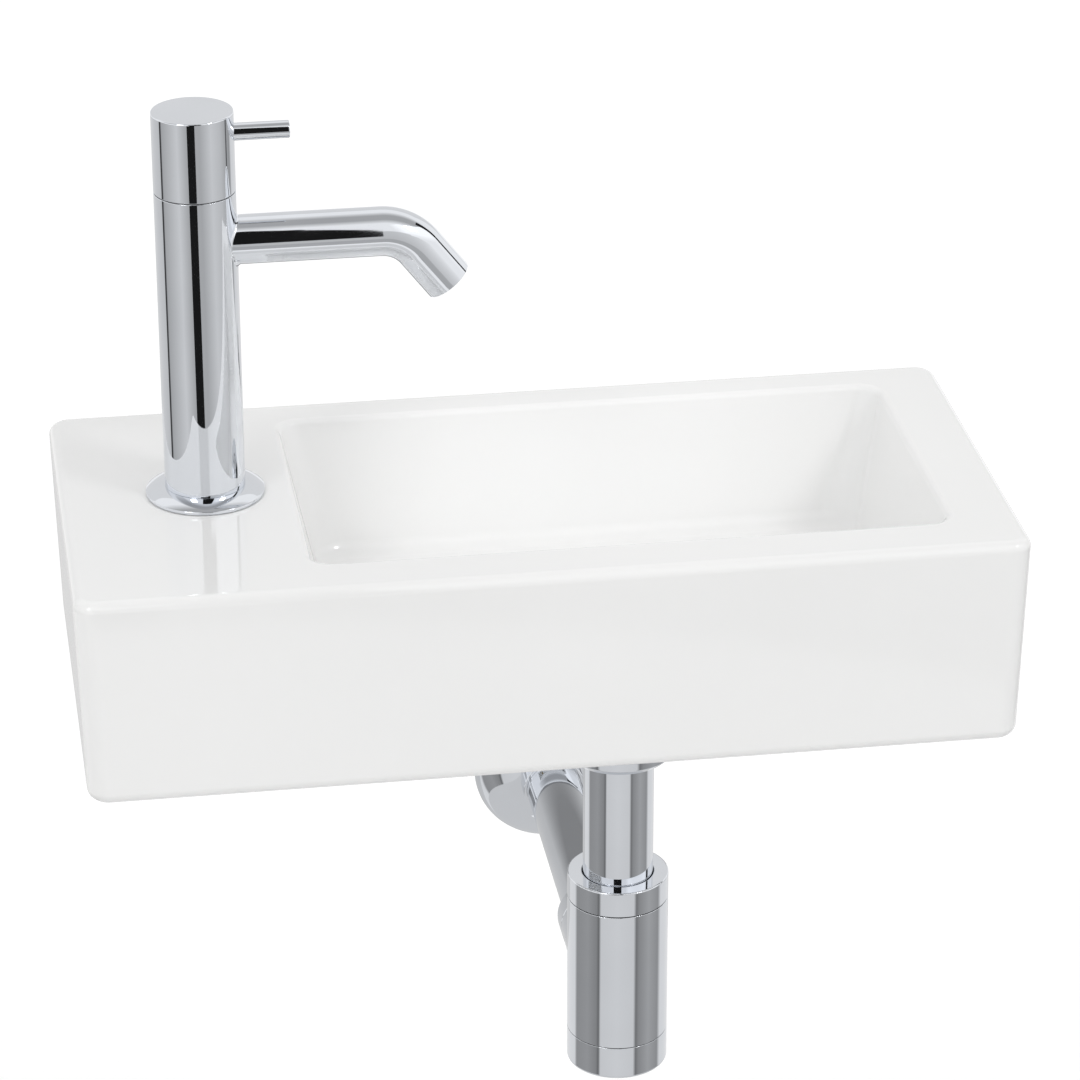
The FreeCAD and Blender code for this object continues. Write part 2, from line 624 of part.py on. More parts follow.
def headwork_spindle():
    groove_top = BODY_TOP - ORING_FROM_TOP + ORING_R
    groove_foot = BODY_TOP - ORING_FROM_TOP - ORING_R
    groove_r = SPINDLE_R - 2 * ORING_R
    stem = turned([(0, FORK_FOOT), (SPINDLE_WAIST_R, FORK_FOOT), (SPINDLE_WAIST_R, HEADWORK_THREAD_FOOT),
                   (SPINDLE_R, HEADWORK_THREAD_FOOT), (SPINDLE_R, groove_foot), (groove_r, groove_foot),
                   (groove_r, groove_top), (SPINDLE_R, groove_top), (SPINDLE_R, NECK_TOP),
                   (SPLINE_R, NECK_TOP), (SPLINE_R, SPLINE_TOP), (0, SPLINE_TOP)])
    fork_l = 2 * (CARTRIDGE_BORE_R - SLIP_CLEAR)
    bar = Part.makeBox(fork_l, FORK_W, FORK_H, vec(-fork_l / 2, -FORK_W / 2, FORK_FOOT))
    bar = bar.common(rod(CARTRIDGE_BORE_R - SLIP_CLEAR, FORK_FOOT, FORK_FOOT + FORK_H))
    bar.rotate(vec(0, 0, 0), UP, 90)
    return at_tap(stem.fuse(bar).removeSplitter())


def spindle_oring():
    return at_tap(Part.makeTorus(SPINDLE_R - ORING_R, ORING_R, vec(0, 0, BODY_TOP - ORING_FROM_TOP)))


def slip_ring():
    outer = TAP_R - EDGE_BREAK
    return at_tap(ring(outer, outer - SLIP_RING_W, BODY_TOP, BODY_TOP + SLIP_RING_T))


def handle_cap():
    shell = turned([(0, CAP_FOOT), (TAP_R - EDGE_BREAK, CAP_FOOT), (TAP_R, CAP_FOOT + EDGE_BREAK),
                    (TAP_R, TAP_H - EDGE_BREAK), (TAP_R - EDGE_BREAK, TAP_H), (0, TAP_H)])
    shell = shell.cut(rod(CAP_RECESS_R, CAP_FOOT, CAP_RECESS_TOP))
    shell = shell.cut(rod(SPLINE_R + THREAD_CLEAR / 2, CAP_RECESS_TOP, SPLINE_TOP + SLIP_CLEAR))
    stud = Part.makeCylinder(LEVER_STUD_R + THREAD_CLEAR, LEVER_STUD_L + SLIP_CLEAR + TAP_R,
                             vec(TAP_R - LEVER_STUD_L - SLIP_CLEAR, 0, LEVER_UP), RIGHT)
    grub = Part.makeCylinder(GRUB_R + THREAD_CLEAR, TAP_R, vec(0, 0, GRUB_UP), BACK)
    return at_tap(shell.cut(stud).cut(grub))


def lever_pin():
    tip = LEVER_REACH - EDGE_BREAK
    shaft = turned([(0, 0), (LEVER_R, 0), (LEVER_R, tip),
                    (LEVER_R - EDGE_BREAK, LEVER_REACH), (0, LEVER_REACH)])
    shaft.rotate(vec(0, 0, 0), BACK, 90)
    shaft.translate(vec(0, 0, LEVER_UP))
    shaft = shaft.cut(rod(TAP_R, 0, TAP_H))
    stud_start = vec(TAP_R - LEVER_STUD_L, 0, LEVER_UP)
    stud = Part.makeCylinder(LEVER_STUD_R, LEVER_STUD_L + LEVER_R, stud_start, RIGHT)
    return at_tap(shaft.fuse(stud).removeSplitter())


def handle_grub_screw():
    screw = rod(GRUB_R, 0, GRUB_L).cut(hexagon(GRUB_KEY_FLATS, GRUB_L - GRUB_KEY_DEPTH, GRUB_L))
    screw.rotate(vec(0, 0, 0), RIGHT, -90)
    return at_tap(moved(screw, 0, SPLINE_R + THREAD_CLEAR / 2, GRUB_UP))


def waste_top_seal():
    return at_drain(ring(WASTE_SEAL_R, WASTE_SEAL_R - WASTE_SEAL_W, FLOOR_Z - DRAIN_RECESS_H, STRAINER_FOOT))


def waste_strainer():
    neck_r = STRAINER_NECK_R
    neck_bore = STRAINER_BORE_R
    grid_foot = STRAINER_TOP - STRAINER_GRID_T
    neck_foot = STRAINER_FOOT - STRAINER_NECK_L
    cap = turned([(0, grid_foot), (neck_bore, grid_foot), (neck_bore, neck_foot), (neck_r, neck_foot),
                  (neck_r, STRAINER_FOOT), (STRAINER_R, STRAINER_FOOT),
                  (STRAINER_R, STRAINER_TOP - EDGE_BREAK), (STRAINER_R - EDGE_BREAK, STRAINER_TOP),
                  (0, STRAINER_TOP)])
    radii = [share * neck_bore for share in STRAINER_RING_SHARES]
    hole_r = STRAINER_HOLE_SHARE * neck_bore
    cap = cap.cut(hole_grid(hole_r, radii, STRAINER_RING_COUNTS, grid_foot, STRAINER_TOP))
    return at_drain(cap.cut(rod(WASTE_SCREW_R + SLIP_CLEAR, grid_foot, STRAINER_TOP)))


def waste_screw():
    foot = WASTE_BAR_TOP - WASTE_BAR_H - WASTE_SCREW_PAST_BAR
    head_top = STRAINER_TOP + WASTE_SCREW_HEAD_H
    screw = turned([(0, foot), (WASTE_SCREW_R, foot), (WASTE_SCREW_R, STRAINER_TOP),
                    (WASTE_SCREW_HEAD_R, STRAINER_TOP), (WASTE_SCREW_HEAD_R, head_top - EDGE_BREAK),
                    (WASTE_SCREW_HEAD_R - EDGE_BREAK, head_top), (0, head_top)])
    slot = Part.makeBox(2 * WASTE_SCREW_HEAD_R, WASTE_SCREW_SLOT_W, WASTE_SCREW_SLOT_H,
                        vec(-WASTE_SCREW_HEAD_R, -WASTE_SCREW_SLOT_W / 2, head_top - WASTE_SCREW_SLOT_H))
    return at_drain(screw.cut(slot))


def waste_bottom_seal():
    return at_drain(ring(WASTE_SEAL_R, WASTE_SEAL_R - WASTE_SEAL_W, WASTE_FLANGE_TOP, UNDER_Z))


def waste_body():
    flange_foot = WASTE_FLANGE_TOP - WASTE_FLANGE_T
    shell = turned([(TAIL_BORE_R, TAIL_FOOT), (TAIL_R, TAIL_FOOT), (TAIL_R, WASTE_HUB_FOOT),
                    (WASTE_HUB_R, WASTE_HUB_FOOT), (WASTE_HUB_R, flange_foot), (WASTE_SEAL_R, flange_foot),
                    (WASTE_SEAL_R, WASTE_FLANGE_TOP), (TAIL_BORE_R, WASTE_FLANGE_TOP)])
    bar_foot = WASTE_BAR_TOP - WASTE_BAR_H
    bar = Part.makeBox(2 * TAIL_R, WASTE_BAR_W, WASTE_BAR_H, vec(-TAIL_R, -WASTE_BAR_W / 2, bar_foot))
    bar = bar.common(rod(TAIL_BORE_R + TAIL_WALL / 2, bar_foot, WASTE_BAR_TOP))
    shell = shell.fuse(bar).removeSplitter()
    return at_drain(shell.cut(rod(WASTE_SCREW_R + THREAD_CLEAR, bar_foot, WASTE_BAR_TOP)))


def inlet_union_nut():
    thread_bore = TAIL_R + THREAD_CLEAR
    tube_bore = INLET_TUBE_R + SLIP_CLEAR
    top = UNION_FOOT + UNION_NUT_H
    return at_drain(turned([(tube_bore, UNION_FOOT), (UNION_NUT_R - UNION_NUT_CHAMFER, UNION_FOOT),
                            (UNION_NUT_R, UNION_FOOT + UNION_NUT_CHAMFER), (UNION_NUT_R, top - EDGE_BREAK),
                            (UNION_NUT_R - EDGE_BREAK, top), (thread_bore, top), (thread_bore, UNION_LIP_TOP),
                            (tube_bore, UNION_LIP_TOP)]))


def inlet_union_seal():
    return at_drain(ring(INLET_FLANGE_R, INLET_TUBE_R, INLET_TOP, TAIL_FOOT))


def inlet_tube():
    bore = INLET_TUBE_R - INLET_TUBE_WALL
    return at_drain(turned([(bore, INLET_FOOT), (INLET_TUBE_R, INLET_FOOT), (INLET_TUBE_R, UNION_LIP_TOP),
                            (INLET_FLANGE_R, UNION_LIP_TOP), (INLET_FLANGE_R, INLET_TOP), (bore, INLET_TOP)]))


def trap_collar():
    tube_bore = INLET_TUBE_R + SLIP_CLEAR
    thread_bore = SPIGOT_R + THREAD_CLEAR
    inside_top = COLLAR_TOP - COLLAR_TOP_T
    return at_drain(turned([(thread_bore, SHOULDER_Z), (BOTTLE_R - SEAM_CHAMFER, SHOULDER_Z),
                            (BOTTLE_R, SHOULDER_Z + SEAM_CHAMFER), (BOTTLE_R, COLLAR_TOP - SEAM_CHAMFER),
                            (BOTTLE_R - SEAM_CHAMFER, COLLAR_TOP), (tube_bore, COLLAR_TOP),
                            (tube_bore, inside_top), (thread_bore, inside_top)]))


def collar_seal():
    return at_drain(ring(SPIGOT_R, INLET_TUBE_R + THREAD_CLEAR, SPIGOT_TOP, COLLAR_TOP - COLLAR_TOP_T))


def trap_body():
    tube_bore = INLET_TUBE_R + SLIP_CLEAR
    bore = BOTTLE_R - BOTTLE_WALL
    bottle = turned([(0, BOTTLE_FOOT), (BOTTLE_R - SEAM_CHAMFER, BOTTLE_FOOT),
                     (BOTTLE_R, BOTTLE_FOOT + SEAM_CHAMFER),
                     (BOTTLE_R, SHOULDER_Z - SEAM_CHAMFER), (BOTTLE_R - SEAM_CHAMFER, SHOULDER_Z),
                     (SPIGOT_R, SHOULDER_Z), (SPIGOT_R, SPIGOT_TOP), (0, SPIGOT_TOP)])
    hollow = rod(bore, BOTTLE_FOOT, DIP_SEAT_FOOT)
    hollow = hollow.fuse(rod(DIP_SEAT_BORE_R, DIP_SEAT_FOOT, DIP_SEAT_TOP))
    hollow = hollow.fuse(rod(tube_bore, DIP_SEAT_TOP, SPIGOT_TOP))
    branch = rod(SOCKET_R, 0, SOCKET_L).fuse(rod(SOCKET_SPIGOT_R, SOCKET_L, SPIGOT_END))
    branch_bore = rod(OUTLET_TUBE_R - OUTLET_TUBE_WALL, 0, TUBE_START)
    branch_bore = branch_bore.fuse(rod(OUTLET_TUBE_R + THREAD_CLEAR, TUBE_START, SPIGOT_END))
    shell = at_drain(bottle).fuse(along_outlet(branch))
    return shell.cut(at_drain(hollow)).cut(along_outlet(branch_bore)).removeSplitter()


def dip_tube():
    flange_r = INLET_TUBE_R
    mouth_r = DIP_SEAT_BORE_R - SLIP_CLEAR
    foot = CUP_FLOOR + DIP_ABOVE_FLOOR
    funnel_foot = DIP_SEAT_FOOT - DIP_FUNNEL_H
    return at_drain(turned([(DIP_R - DIP_WALL, foot), (DIP_R, foot), (DIP_R, funnel_foot),
                            (mouth_r, DIP_SEAT_FOOT), (mouth_r, DIP_SEAT_TOP),
                            (flange_r, DIP_SEAT_TOP), (flange_r, INLET_FOOT),
                            (mouth_r - DIP_WALL, INLET_FOOT), (mouth_r - DIP_WALL, DIP_SEAT_FOOT),
                            (DIP_R - DIP_WALL, funnel_foot)]))


def cup_seal():
    inner = BOTTLE_R - BOTTLE_WALL + THREAD_CLEAR
    return at_drain(ring(BOTTLE_R - SEAM_CHAMFER, inner, CUP_TOP, BOTTLE_FOOT))


def trap_cup():
    spigot_r = BOTTLE_R - BOTTLE_WALL - THREAD_CLEAR
    spigot_bore = spigot_r - CUP_SPIGOT_WALL
    spigot_top = BOTTLE_FOOT + CUP_SPIGOT_H
    sleeve_top = CUP_FLOOR + CUP_SLEEVE_H
    shell = turned([(0, CUP_FOOT), (BOTTLE_R - CUP_BOTTOM_CHAMFER, CUP_FOOT),
                    (BOTTLE_R, CUP_FOOT + CUP_BOTTOM_CHAMFER), (BOTTLE_R, CUP_TOP - SEAM_CHAMFER),
                    (BOTTLE_R - SEAM_CHAMFER, CUP_TOP), (spigot_r, CUP_TOP), (spigot_r, spigot_top),
                    (spigot_bore, spigot_top), (spigot_bore, CUP_FLOOR), (CUP_SLEEVE_R, CUP_FLOOR),
                    (CUP_SLEEVE_R, sleeve_top), (CUP_SLEEVE_R - CUP_SLEEVE_WALL, sleeve_top),
                    (CUP_SLEEVE_R - CUP_SLEEVE_WALL, CUP_FLOOR), (0, CUP_FLOOR)])
    return at_drain(shell)


def outlet_seal():
    return along_outlet(ring(SOCKET_SPIGOT_R, OUTLET_TUBE_R + THREAD_CLEAR, SPIGOT_END, OUTLET_LIP_AT))


def outlet_ring():
    thread_bore = SOCKET_SPIGOT_R + THREAD_CLEAR
    tube_bore = OUTLET_TUBE_R + SLIP_CLEAR
    end = OUTLET_LIP_AT + OUTLET_LIP_T
    return along_outlet(turned([(thread_bore, SOCKET_L), (SOCKET_R - SEAM_CHAMFER, SOCKET_L),
                                (SOCKET_R, SOCKET_L + SEAM_CHAMFER), (SOCKET_R, end - SEAM_CHAMFER),
                                (SOCKET_R - SEAM_CHAMFER, end), (tube_bore, end), (tube_bore, OUTLET_LIP_AT),
                                (thread_bore, OUTLET_LIP_AT)]))


def outlet_tube():
    # A fine groove behind the rosette marks how far the end goes into the drain in the wall
    tube = ring(OUTLET_TUBE_R, OUTLET_TUBE_R - OUTLET_TUBE_WALL, TUBE_START, TUBE_END)
    mark_r = OUTLET_TUBE_R - INSERT_MARK_DEPTH
    return along_outlet(tube.cut(ring(OUTLET_TUBE_R, mark_r, ROSETTE_BACK, ROSETTE_BACK + INSERT_MARK_W)))


def dome_points(outer_r, inner_r, back, height):
    # Start, middle and end of the dome's arc, from its wide edge to its neck
    share = math.sqrt(0.5)
    middle = vec(inner_r + (outer_r - inner_r) * share, 0, back - height * share)
    return vec(outer_r, 0, back), middle, vec(inner_r, 0, back - height)


def wall_rosette():
    bore = OUTLET_TUBE_R + RUN_CLEAR
    neck_r = bore + ROSETTE_NECK_WALL
    rim = ROSETTE_BACK - ROSETTE_T
    front = rim - ROSETTE_DOME_H - ROSETTE_NECK_H
    outer = dome_points(ROSETTE_R, neck_r, rim, ROSETTE_DOME_H)
    inner = dome_points(ROSETTE_R - ROSETTE_T, bore, ROSETTE_BACK, ROSETTE_DOME_H)
    corners = [inner[2], vec(bore, 0, front), vec(neck_r, 0, front), outer[2]]
    edges = [Part.LineSegment(a, b).toShape() for a, b in zip(corners, corners[1:])]
    edges.append(Part.Arc(outer[2], outer[1], outer[0]).toShape())
    edges.append(Part.LineSegment(outer[0], vec(ROSETTE_R, 0, ROSETTE_BACK)).toShape())
    edges.append(Part.LineSegment(vec(ROSETTE_R, 0, ROSETTE_BACK), inner[0]).toShape())
    edges.append(Part.Arc(inner[0], inner[1], inner[2]).toShape())
    face = Part.Face(Part.Wire(edges))
    return along_outlet(face.revolve(vec(0, 0, 0), UP, 360))


PIECES = {
    "basin": basin(),
    "tap_base_flange": tap_base_flange(),
    "tap_base_gasket": tap_base_gasket(),
    "tap_body": tap_body(),
    "tap_spout": tap_spout(),
    "aerator_housing": aerator_housing(),
    "aerator_insert": aerator_insert(),
    "aerator_seal": aerator_seal(),
    "tap_shank": tap_shank(),
    "shank_rubber_washer": shank_rubber_washer(),
    "shank_clamp_washer": shank_clamp_washer(),
    "shank_backnut": shank_backnut(),
    "headwork_seat_seal": headwork_seat_seal(),
    "headwork_body": headwork_body(),
    "ceramic_disc_fixed": ceramic_disc(CARTRIDGE_FOOT, 0),
    "ceramic_disc_turning": ceramic_disc(CARTRIDGE_FOOT + DISC_T, 90),
    "headwork_spindle": headwork_spindle(),
    "spindle_oring": spindle_oring(),
    "slip_ring": slip_ring(),
    "handle_cap": handle_cap(),
    "lever_pin": lever_pin(),
    "handle_grub_screw": handle_grub_screw(),
    "waste_top_seal": waste_top_seal(),
    "waste_strainer": waste_strainer(),
    "waste_screw": waste_screw(),
    "waste_bottom_seal": waste_bottom_seal(),
    "waste_body": waste_body(),
    "inlet_union_nut": inlet_union_nut(),
    "inlet_union_seal": inlet_union_seal(),
    "inlet_tube": inlet_tube(),
    "trap_collar": trap_collar(),
    "collar_seal": collar_seal(),
    "trap_body": trap_body(),
    "dip_tube": dip_tube(),
    "cup_seal": cup_seal(),
    "trap_cup": trap_cup(),
    "outlet_seal": outlet_seal(),
    "outlet_ring": outlet_ring(),
    "outlet_tube": outlet_tube(),
    "wall_rosette": wall_rosette(),
}

os.makedirs("parts", exist_ok=True)
for name, shape in PIECES.items():
    if shape.ShapeType != "Solid":
        shape = shape.Solids[0] if len(shape.Solids) == 1 else shape
    shape.exportStep("parts/" + name + ".step")
    print(name, "solids", len(shape.Solids), "valid", shape.isValid(), "volume", round(shape.Volume, 1))
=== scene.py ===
# %% [markdown]
# # A hand basin with its tap and trap
#
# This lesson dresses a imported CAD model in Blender. The CAD model is the frame: it says where each piece is
# and what moves. Here the pieces that show get smooth meshes and real finishes, such as glaze and chrome.
# Places in the room are in metres. Sizes of pieces are in millimetres, and MM turns them into metres. +X is
# right, +Y goes into the wall and +Z is up.

# %% Load the frame
import json
import math

import bmesh
import bpy
import numpy as np
from mathutils import Matrix, Vector


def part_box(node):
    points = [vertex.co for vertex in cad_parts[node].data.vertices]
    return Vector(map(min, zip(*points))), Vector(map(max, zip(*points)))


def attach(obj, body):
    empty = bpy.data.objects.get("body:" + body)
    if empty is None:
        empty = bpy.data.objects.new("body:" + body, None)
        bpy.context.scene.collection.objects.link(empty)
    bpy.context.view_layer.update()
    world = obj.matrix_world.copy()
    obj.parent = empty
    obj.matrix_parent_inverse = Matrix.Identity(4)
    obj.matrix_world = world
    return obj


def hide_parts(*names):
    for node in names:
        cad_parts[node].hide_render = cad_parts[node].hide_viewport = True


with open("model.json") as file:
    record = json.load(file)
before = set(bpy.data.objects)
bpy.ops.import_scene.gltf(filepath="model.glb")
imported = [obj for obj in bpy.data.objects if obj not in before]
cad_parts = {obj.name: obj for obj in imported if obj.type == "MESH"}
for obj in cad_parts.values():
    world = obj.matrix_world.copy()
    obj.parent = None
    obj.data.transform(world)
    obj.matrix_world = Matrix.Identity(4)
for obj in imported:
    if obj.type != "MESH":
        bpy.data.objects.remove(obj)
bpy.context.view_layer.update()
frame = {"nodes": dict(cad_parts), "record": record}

# %% [markdown]
# The pieces hang on three axes: the tap's, the drain's and the outlet's. Their places could be typed in
# again, but read off the frame they always sit on the CAD pieces. Heights are counted from the basin's rim,
# as a fitter would measure them.

# %% Axes
MM = 0.001


def middle_of(name):
    """The middle of a CAD piece's box."""
    low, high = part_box(name)
    return Vector([(a + b) / 2 for a, b in zip(low, high)])


rim_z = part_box("basin")[1].z
tap_middle = middle_of("handle_cap")
drain_middle = middle_of("inlet_tube")
TAP_AXIS = Vector((tap_middle.x, tap_middle.y, rim_z))
DRAIN_AXIS = Vector((drain_middle.x, drain_middle.y, rim_z))
OUTLET_AXIS = Vector((drain_middle.x, drain_middle.y, middle_of("outlet_tube").z))
sideways = Matrix.Rotation(math.radians(90), 4, "Y")
backwards = Matrix.Rotation(math.radians(-90), 4, "X")
at_tap = Matrix.Translation(TAP_AXIS)
at_drain = Matrix.Translation(DRAIN_AXIS)
along_outlet = Matrix.Translation(OUTLET_AXIS) @ backwards
print("rim at", round(rim_z / MM, 2), "tap axis", [round(v / MM, 1) for v in TAP_AXIS])

# %% [markdown]
# The camera stands where the photograph was taken from: a little left of the middle, well above the rim, and
# far away with a long lens. It could be turned by eye until it looks right. Its place was worked out from
# the basin's corners instead, so the render and the photograph can be laid over each other.

# %% Camera
SENSOR_WIDTH = 36.0
LENS = 150.82
CAMERA_PLACE = (-0.24904, -1.77522, 0.82927)
CAMERA_DEGREES = (64.75, 0.09, -8.64)
NEAR_CLIP = 0.05
FAR_CLIP = 60.0
camera_data = bpy.data.cameras.new("photo_camera")
camera_data.sensor_width = SENSOR_WIDTH
camera_data.lens = LENS
camera_data.clip_start = NEAR_CLIP
camera_data.clip_end = FAR_CLIP
camera = bpy.data.objects.new("photo_camera", camera_data)
camera.location = CAMERA_PLACE
camera.rotation_euler = [math.radians(turn) for turn in CAMERA_DEGREES]
bpy.context.scene.collection.objects.link(camera)
bpy.context.scene.camera = camera
bpy.context.scene.view_settings.view_transform = "Standard"
print("camera at", [round(v, 3) for v in camera.location])

# %% [markdown]
# The studio is white all round. A world bright enough to look white would burn out the glaze, so the world
# has two levels: a plain soft light, and a pure white for what the eye or a mirror sees of it. Light Path
# tells the two apart. A few helpers keep this and all later node trees short.

# %% Helpers for node trees


def node(tree, kind, **settings):
    """A new node with its settings."""
    made = tree.nodes.new(kind)
    for name, value in settings.items():
        setattr(made, name, value)
    return made


def wire(tree, *pairs):
    """Joins each output to the input beside it."""
    for output, socket in pairs:
        tree.links.new(output, socket)


def bare_tree(owner):
    """The emptied node tree of a world or a material."""
    owner.use_nodes = True
    owner.node_tree.nodes.clear()
    return owner.node_tree


def seen_or_mirrored(tree):
    """1 for rays from the eye, from mirrors and through glass, and 0 for the light that falls on things."""
    rays = node(tree, "ShaderNodeLightPath")
    found = rays.outputs["Is Camera Ray"]
    for kind in ("Is Glossy Ray", "Is Transmission Ray"):
        either = node(tree, "ShaderNodeMath", operation="MAXIMUM")
        wire(tree, (found, either.inputs[0]), (rays.outputs[kind], either.inputs[1]))
        found = either.outputs[0]
    return found


print("helpers for node trees ready")

# %% World
LIGHT_LEVEL = 0.77
WHITE = (1.0, 1.0, 1.0, 1.0)
world = bpy.data.worlds.new("white_studio")
bpy.context.scene.world = world
tree = bare_tree(world)
light = node(tree, "ShaderNodeBackground")
light.inputs["Strength"].default_value = LIGHT_LEVEL
shown = node(tree, "ShaderNodeBackground")
for background in (light, shown):
    background.inputs["Color"].default_value = WHITE
choose = node(tree, "ShaderNodeMixShader")
sky = node(tree, "ShaderNodeOutputWorld")
wire(tree,
     (seen_or_mirrored(tree), choose.inputs["Fac"]),
     (light.outputs[0], choose.inputs[1]),
     (shown.outputs[0], choose.inputs[2]),
     (choose.outputs[0], sky.inputs["Surface"]))
print("world light", LIGHT_LEVEL)

# %% [markdown]
# The floor is a plain pale sheet well below the trap. Lamps light it less the further it runs from the
# object, so a photographer brightens the far end until all of it is white in the picture. More lamps would
# fall on the object too, so here a glow does it, which only the eye and mirrors see. It is added to the
# sheet's own shading, and the shadow under the basin stays.

# %% Paper for the floor
FLOOR_Z = -0.45
BASIN_MIDDLE = Vector((0.0, -0.09, 0.05))
PAPER_GREY = (0.86, 0.86, 0.86, 1.0)
GLOW_REACH = (0.3, 3.0)
GLOW_LEVELS = (0.29, 0.42)


def map_range(tree, value, source, target):
    """Stretches the span of source to the span of target."""
    made = node(tree, "ShaderNodeMapRange")
    for label, level in zip(("From Min", "From Max", "To Min", "To Max"), (*source, *target)):
        made.inputs[label].default_value = level
    wire(tree, (value, made.inputs["Value"]))
    return made.outputs["Result"]


paper = bpy.data.materials.new("pale_paper")
tree = bare_tree(paper)
where = node(tree, "ShaderNodeTexCoord")
away = node(tree, "ShaderNodeVectorMath", operation="DISTANCE")
away.inputs[1].default_value = (BASIN_MIDDLE.x, BASIN_MIDDLE.y, FLOOR_Z)
strength = node(tree, "ShaderNodeMath", operation="MULTIPLY")
matt = node(tree, "ShaderNodeBsdfDiffuse")
matt.inputs["Color"].default_value = PAPER_GREY
glow = node(tree, "ShaderNodeEmission")
both = node(tree, "ShaderNodeAddShader")
out = node(tree, "ShaderNodeOutputMaterial")
wire(tree,
     (where.outputs["Object"], away.inputs[0]),
     (map_range(tree, away.outputs["Value"], GLOW_REACH, GLOW_LEVELS), strength.inputs[0]),
     (seen_or_mirrored(tree), strength.inputs[1]),
     (strength.outputs[0], glow.inputs["Strength"]),
     (matt.outputs[0], both.inputs[0]),
     (glow.outputs[0], both.inputs[1]),
     (both.outputs[0], out.inputs["Surface"]))
print("paper glows", GLOW_LEVELS[0], "near the object and", GLOW_LEVELS[1], "far away")

# %% Floor
FLOOR_HALF = 9.0


def new_object(name, data):
    """An object in the scene that shows the data."""
    made = bpy.data.objects.new(name, data)
    bpy.context.scene.collection.objects.link(made)
    return made


def oblong(left, right, low, high):
    """The corners of a rectangle."""
    return [(left, low), (right, low), (right, high), (left, high)]


def lying(z, outline):
    """An outline laid level at a height."""
    return [(x, y, z) for x, y in outline]


sheet = bpy.data.meshes.new("floor")
sheet_corners = lying(FLOOR_Z, oblong(-FLOOR_HALF, FLOOR_HALF, -FLOOR_HALF, FLOOR_HALF))
sheet.from_pydata(sheet_corners, [], [(0, 1, 2, 3)])
sheet.materials.append(paper)
floor = new_object("floor", sheet)
print("floor at", FLOOR_Z)

# %% [markdown]
# Chrome has no colour of its own: it shows the room. A photographer lays grey cards and black cloths, called
# flags, just outside the picture, and the cylinders turn them into the bands and lines that make chrome look
# like chrome. Bands painted on the metal would be wrong from every other side. These cards are seen by
# mirrors only: they light nothing, throw no shadow and don't stand in any picture. A card's grey is stored
# on its points, so one paint serves them all.

# %% Card paint
card_paint = bpy.data.materials.new("card_paint")
tree = bare_tree(card_paint)
grey = node(tree, "ShaderNodeAttribute", attribute_name="grey")
glow = node(tree, "ShaderNodeEmission")
out = node(tree, "ShaderNodeOutputMaterial")
wire(tree, (grey.outputs["Fac"], glow.inputs["Strength"]), (glow.outputs[0], out.inputs["Surface"]))


def card(name, points, faces, greys):
    """A card that only mirrors see."""
    mesh = bpy.data.meshes.new(name)
    mesh.from_pydata([Vector(point) for point in points], [], faces)
    mesh.attributes.new("grey", "FLOAT", "POINT").data.foreach_set("value", greys)
    mesh.materials.append(card_paint)
    made = new_object(name, mesh)
    made.visible_camera = False
    made.visible_diffuse = False
    made.visible_shadow = False
    made.visible_transmission = False
    return made


print("card paint ready")

# %% Flat cards and boards
ROOM_WHITE = 1.0


def upright(y, outline):
    """An outline that faces the front."""
    return [(x, y, z) for x, z in outline]


def edgeways(x, outline):
    """An outline that faces the side."""
    return [(x, y, z) for y, z in outline]


def flat_card(name, corners, level, soft=0.0):
    """A flat card of one grey. With soft, a border round it fades to the white of the room."""
    points = [Vector(corner) for corner in corners]
    count = len(points)
    faces = [tuple(range(count))]
    greys = [level] * count
    if soft:
        middle = sum(points, Vector()) / count
        points += [middle + (point - middle) * (1.0 + soft) for point in points]
        greys += [ROOM_WHITE] * count
        faces += [(i, (i + 1) % count, count + (i + 1) % count, count + i) for i in range(count)]
    return card(name, points, faces, greys)


def board(name, y, columns, rows):
    """A standing card that shades off. Each row is a height and its greys from left to right."""
    points = [(x, y, z) for z, _ in rows for x in columns]
    greys = [level for _, levels in rows for level in levels]
    wide = len(columns)
    starts = [row * wide + column for row in range(len(rows) - 1) for column in range(wide - 1)]
    return card(name, points, [(i, i + 1, i + wide + 1, i + wide) for i in starts], greys)


print("flat cards and boards ready")

# %% Ring cards
SHEET_GAP = 0.001


def ring_card(name, axis, near, far, layer, stops):
    """A ring on the floor. A stop is a turn from the camera's side, in degrees to the right, and a grey."""
    facing = math.atan2(camera.location.y - axis.y, camera.location.x - axis.x)
    turns, levels = zip(*stops)
    points = []
    greys = []
    for turn in range(-180, 180):
        angle = facing + math.radians(turn)
        for radius in (near, far):
            x = axis.x + radius * math.cos(angle)
            y = axis.y + radius * math.sin(angle)
            points.append((x, y, FLOOR_Z + layer * SHEET_GAP))
            greys.append(float(np.interp(turn, turns, levels)))
    count = len(points)
    faces = [(i, i + 1, (i + 3) % count, (i + 2) % count) for i in range(0, count, 2)]
    return card(name, points, faces, greys)


print("rings lie", SHEET_GAP, "apart")

# %% [markdown]
# A standing cylinder seen from above mirrors the floor round it, drawn out long. So a wide grey ring lies
# about the tap's axis, and its narrow dark sectors become upright lines. A low black cloth in front gives
# the column its broad band. The spout and the lever lie level and mirror what hangs near the camera, so a
# tall cloth hangs there. A small cloth close by shows in the flange's top and in the column at once.

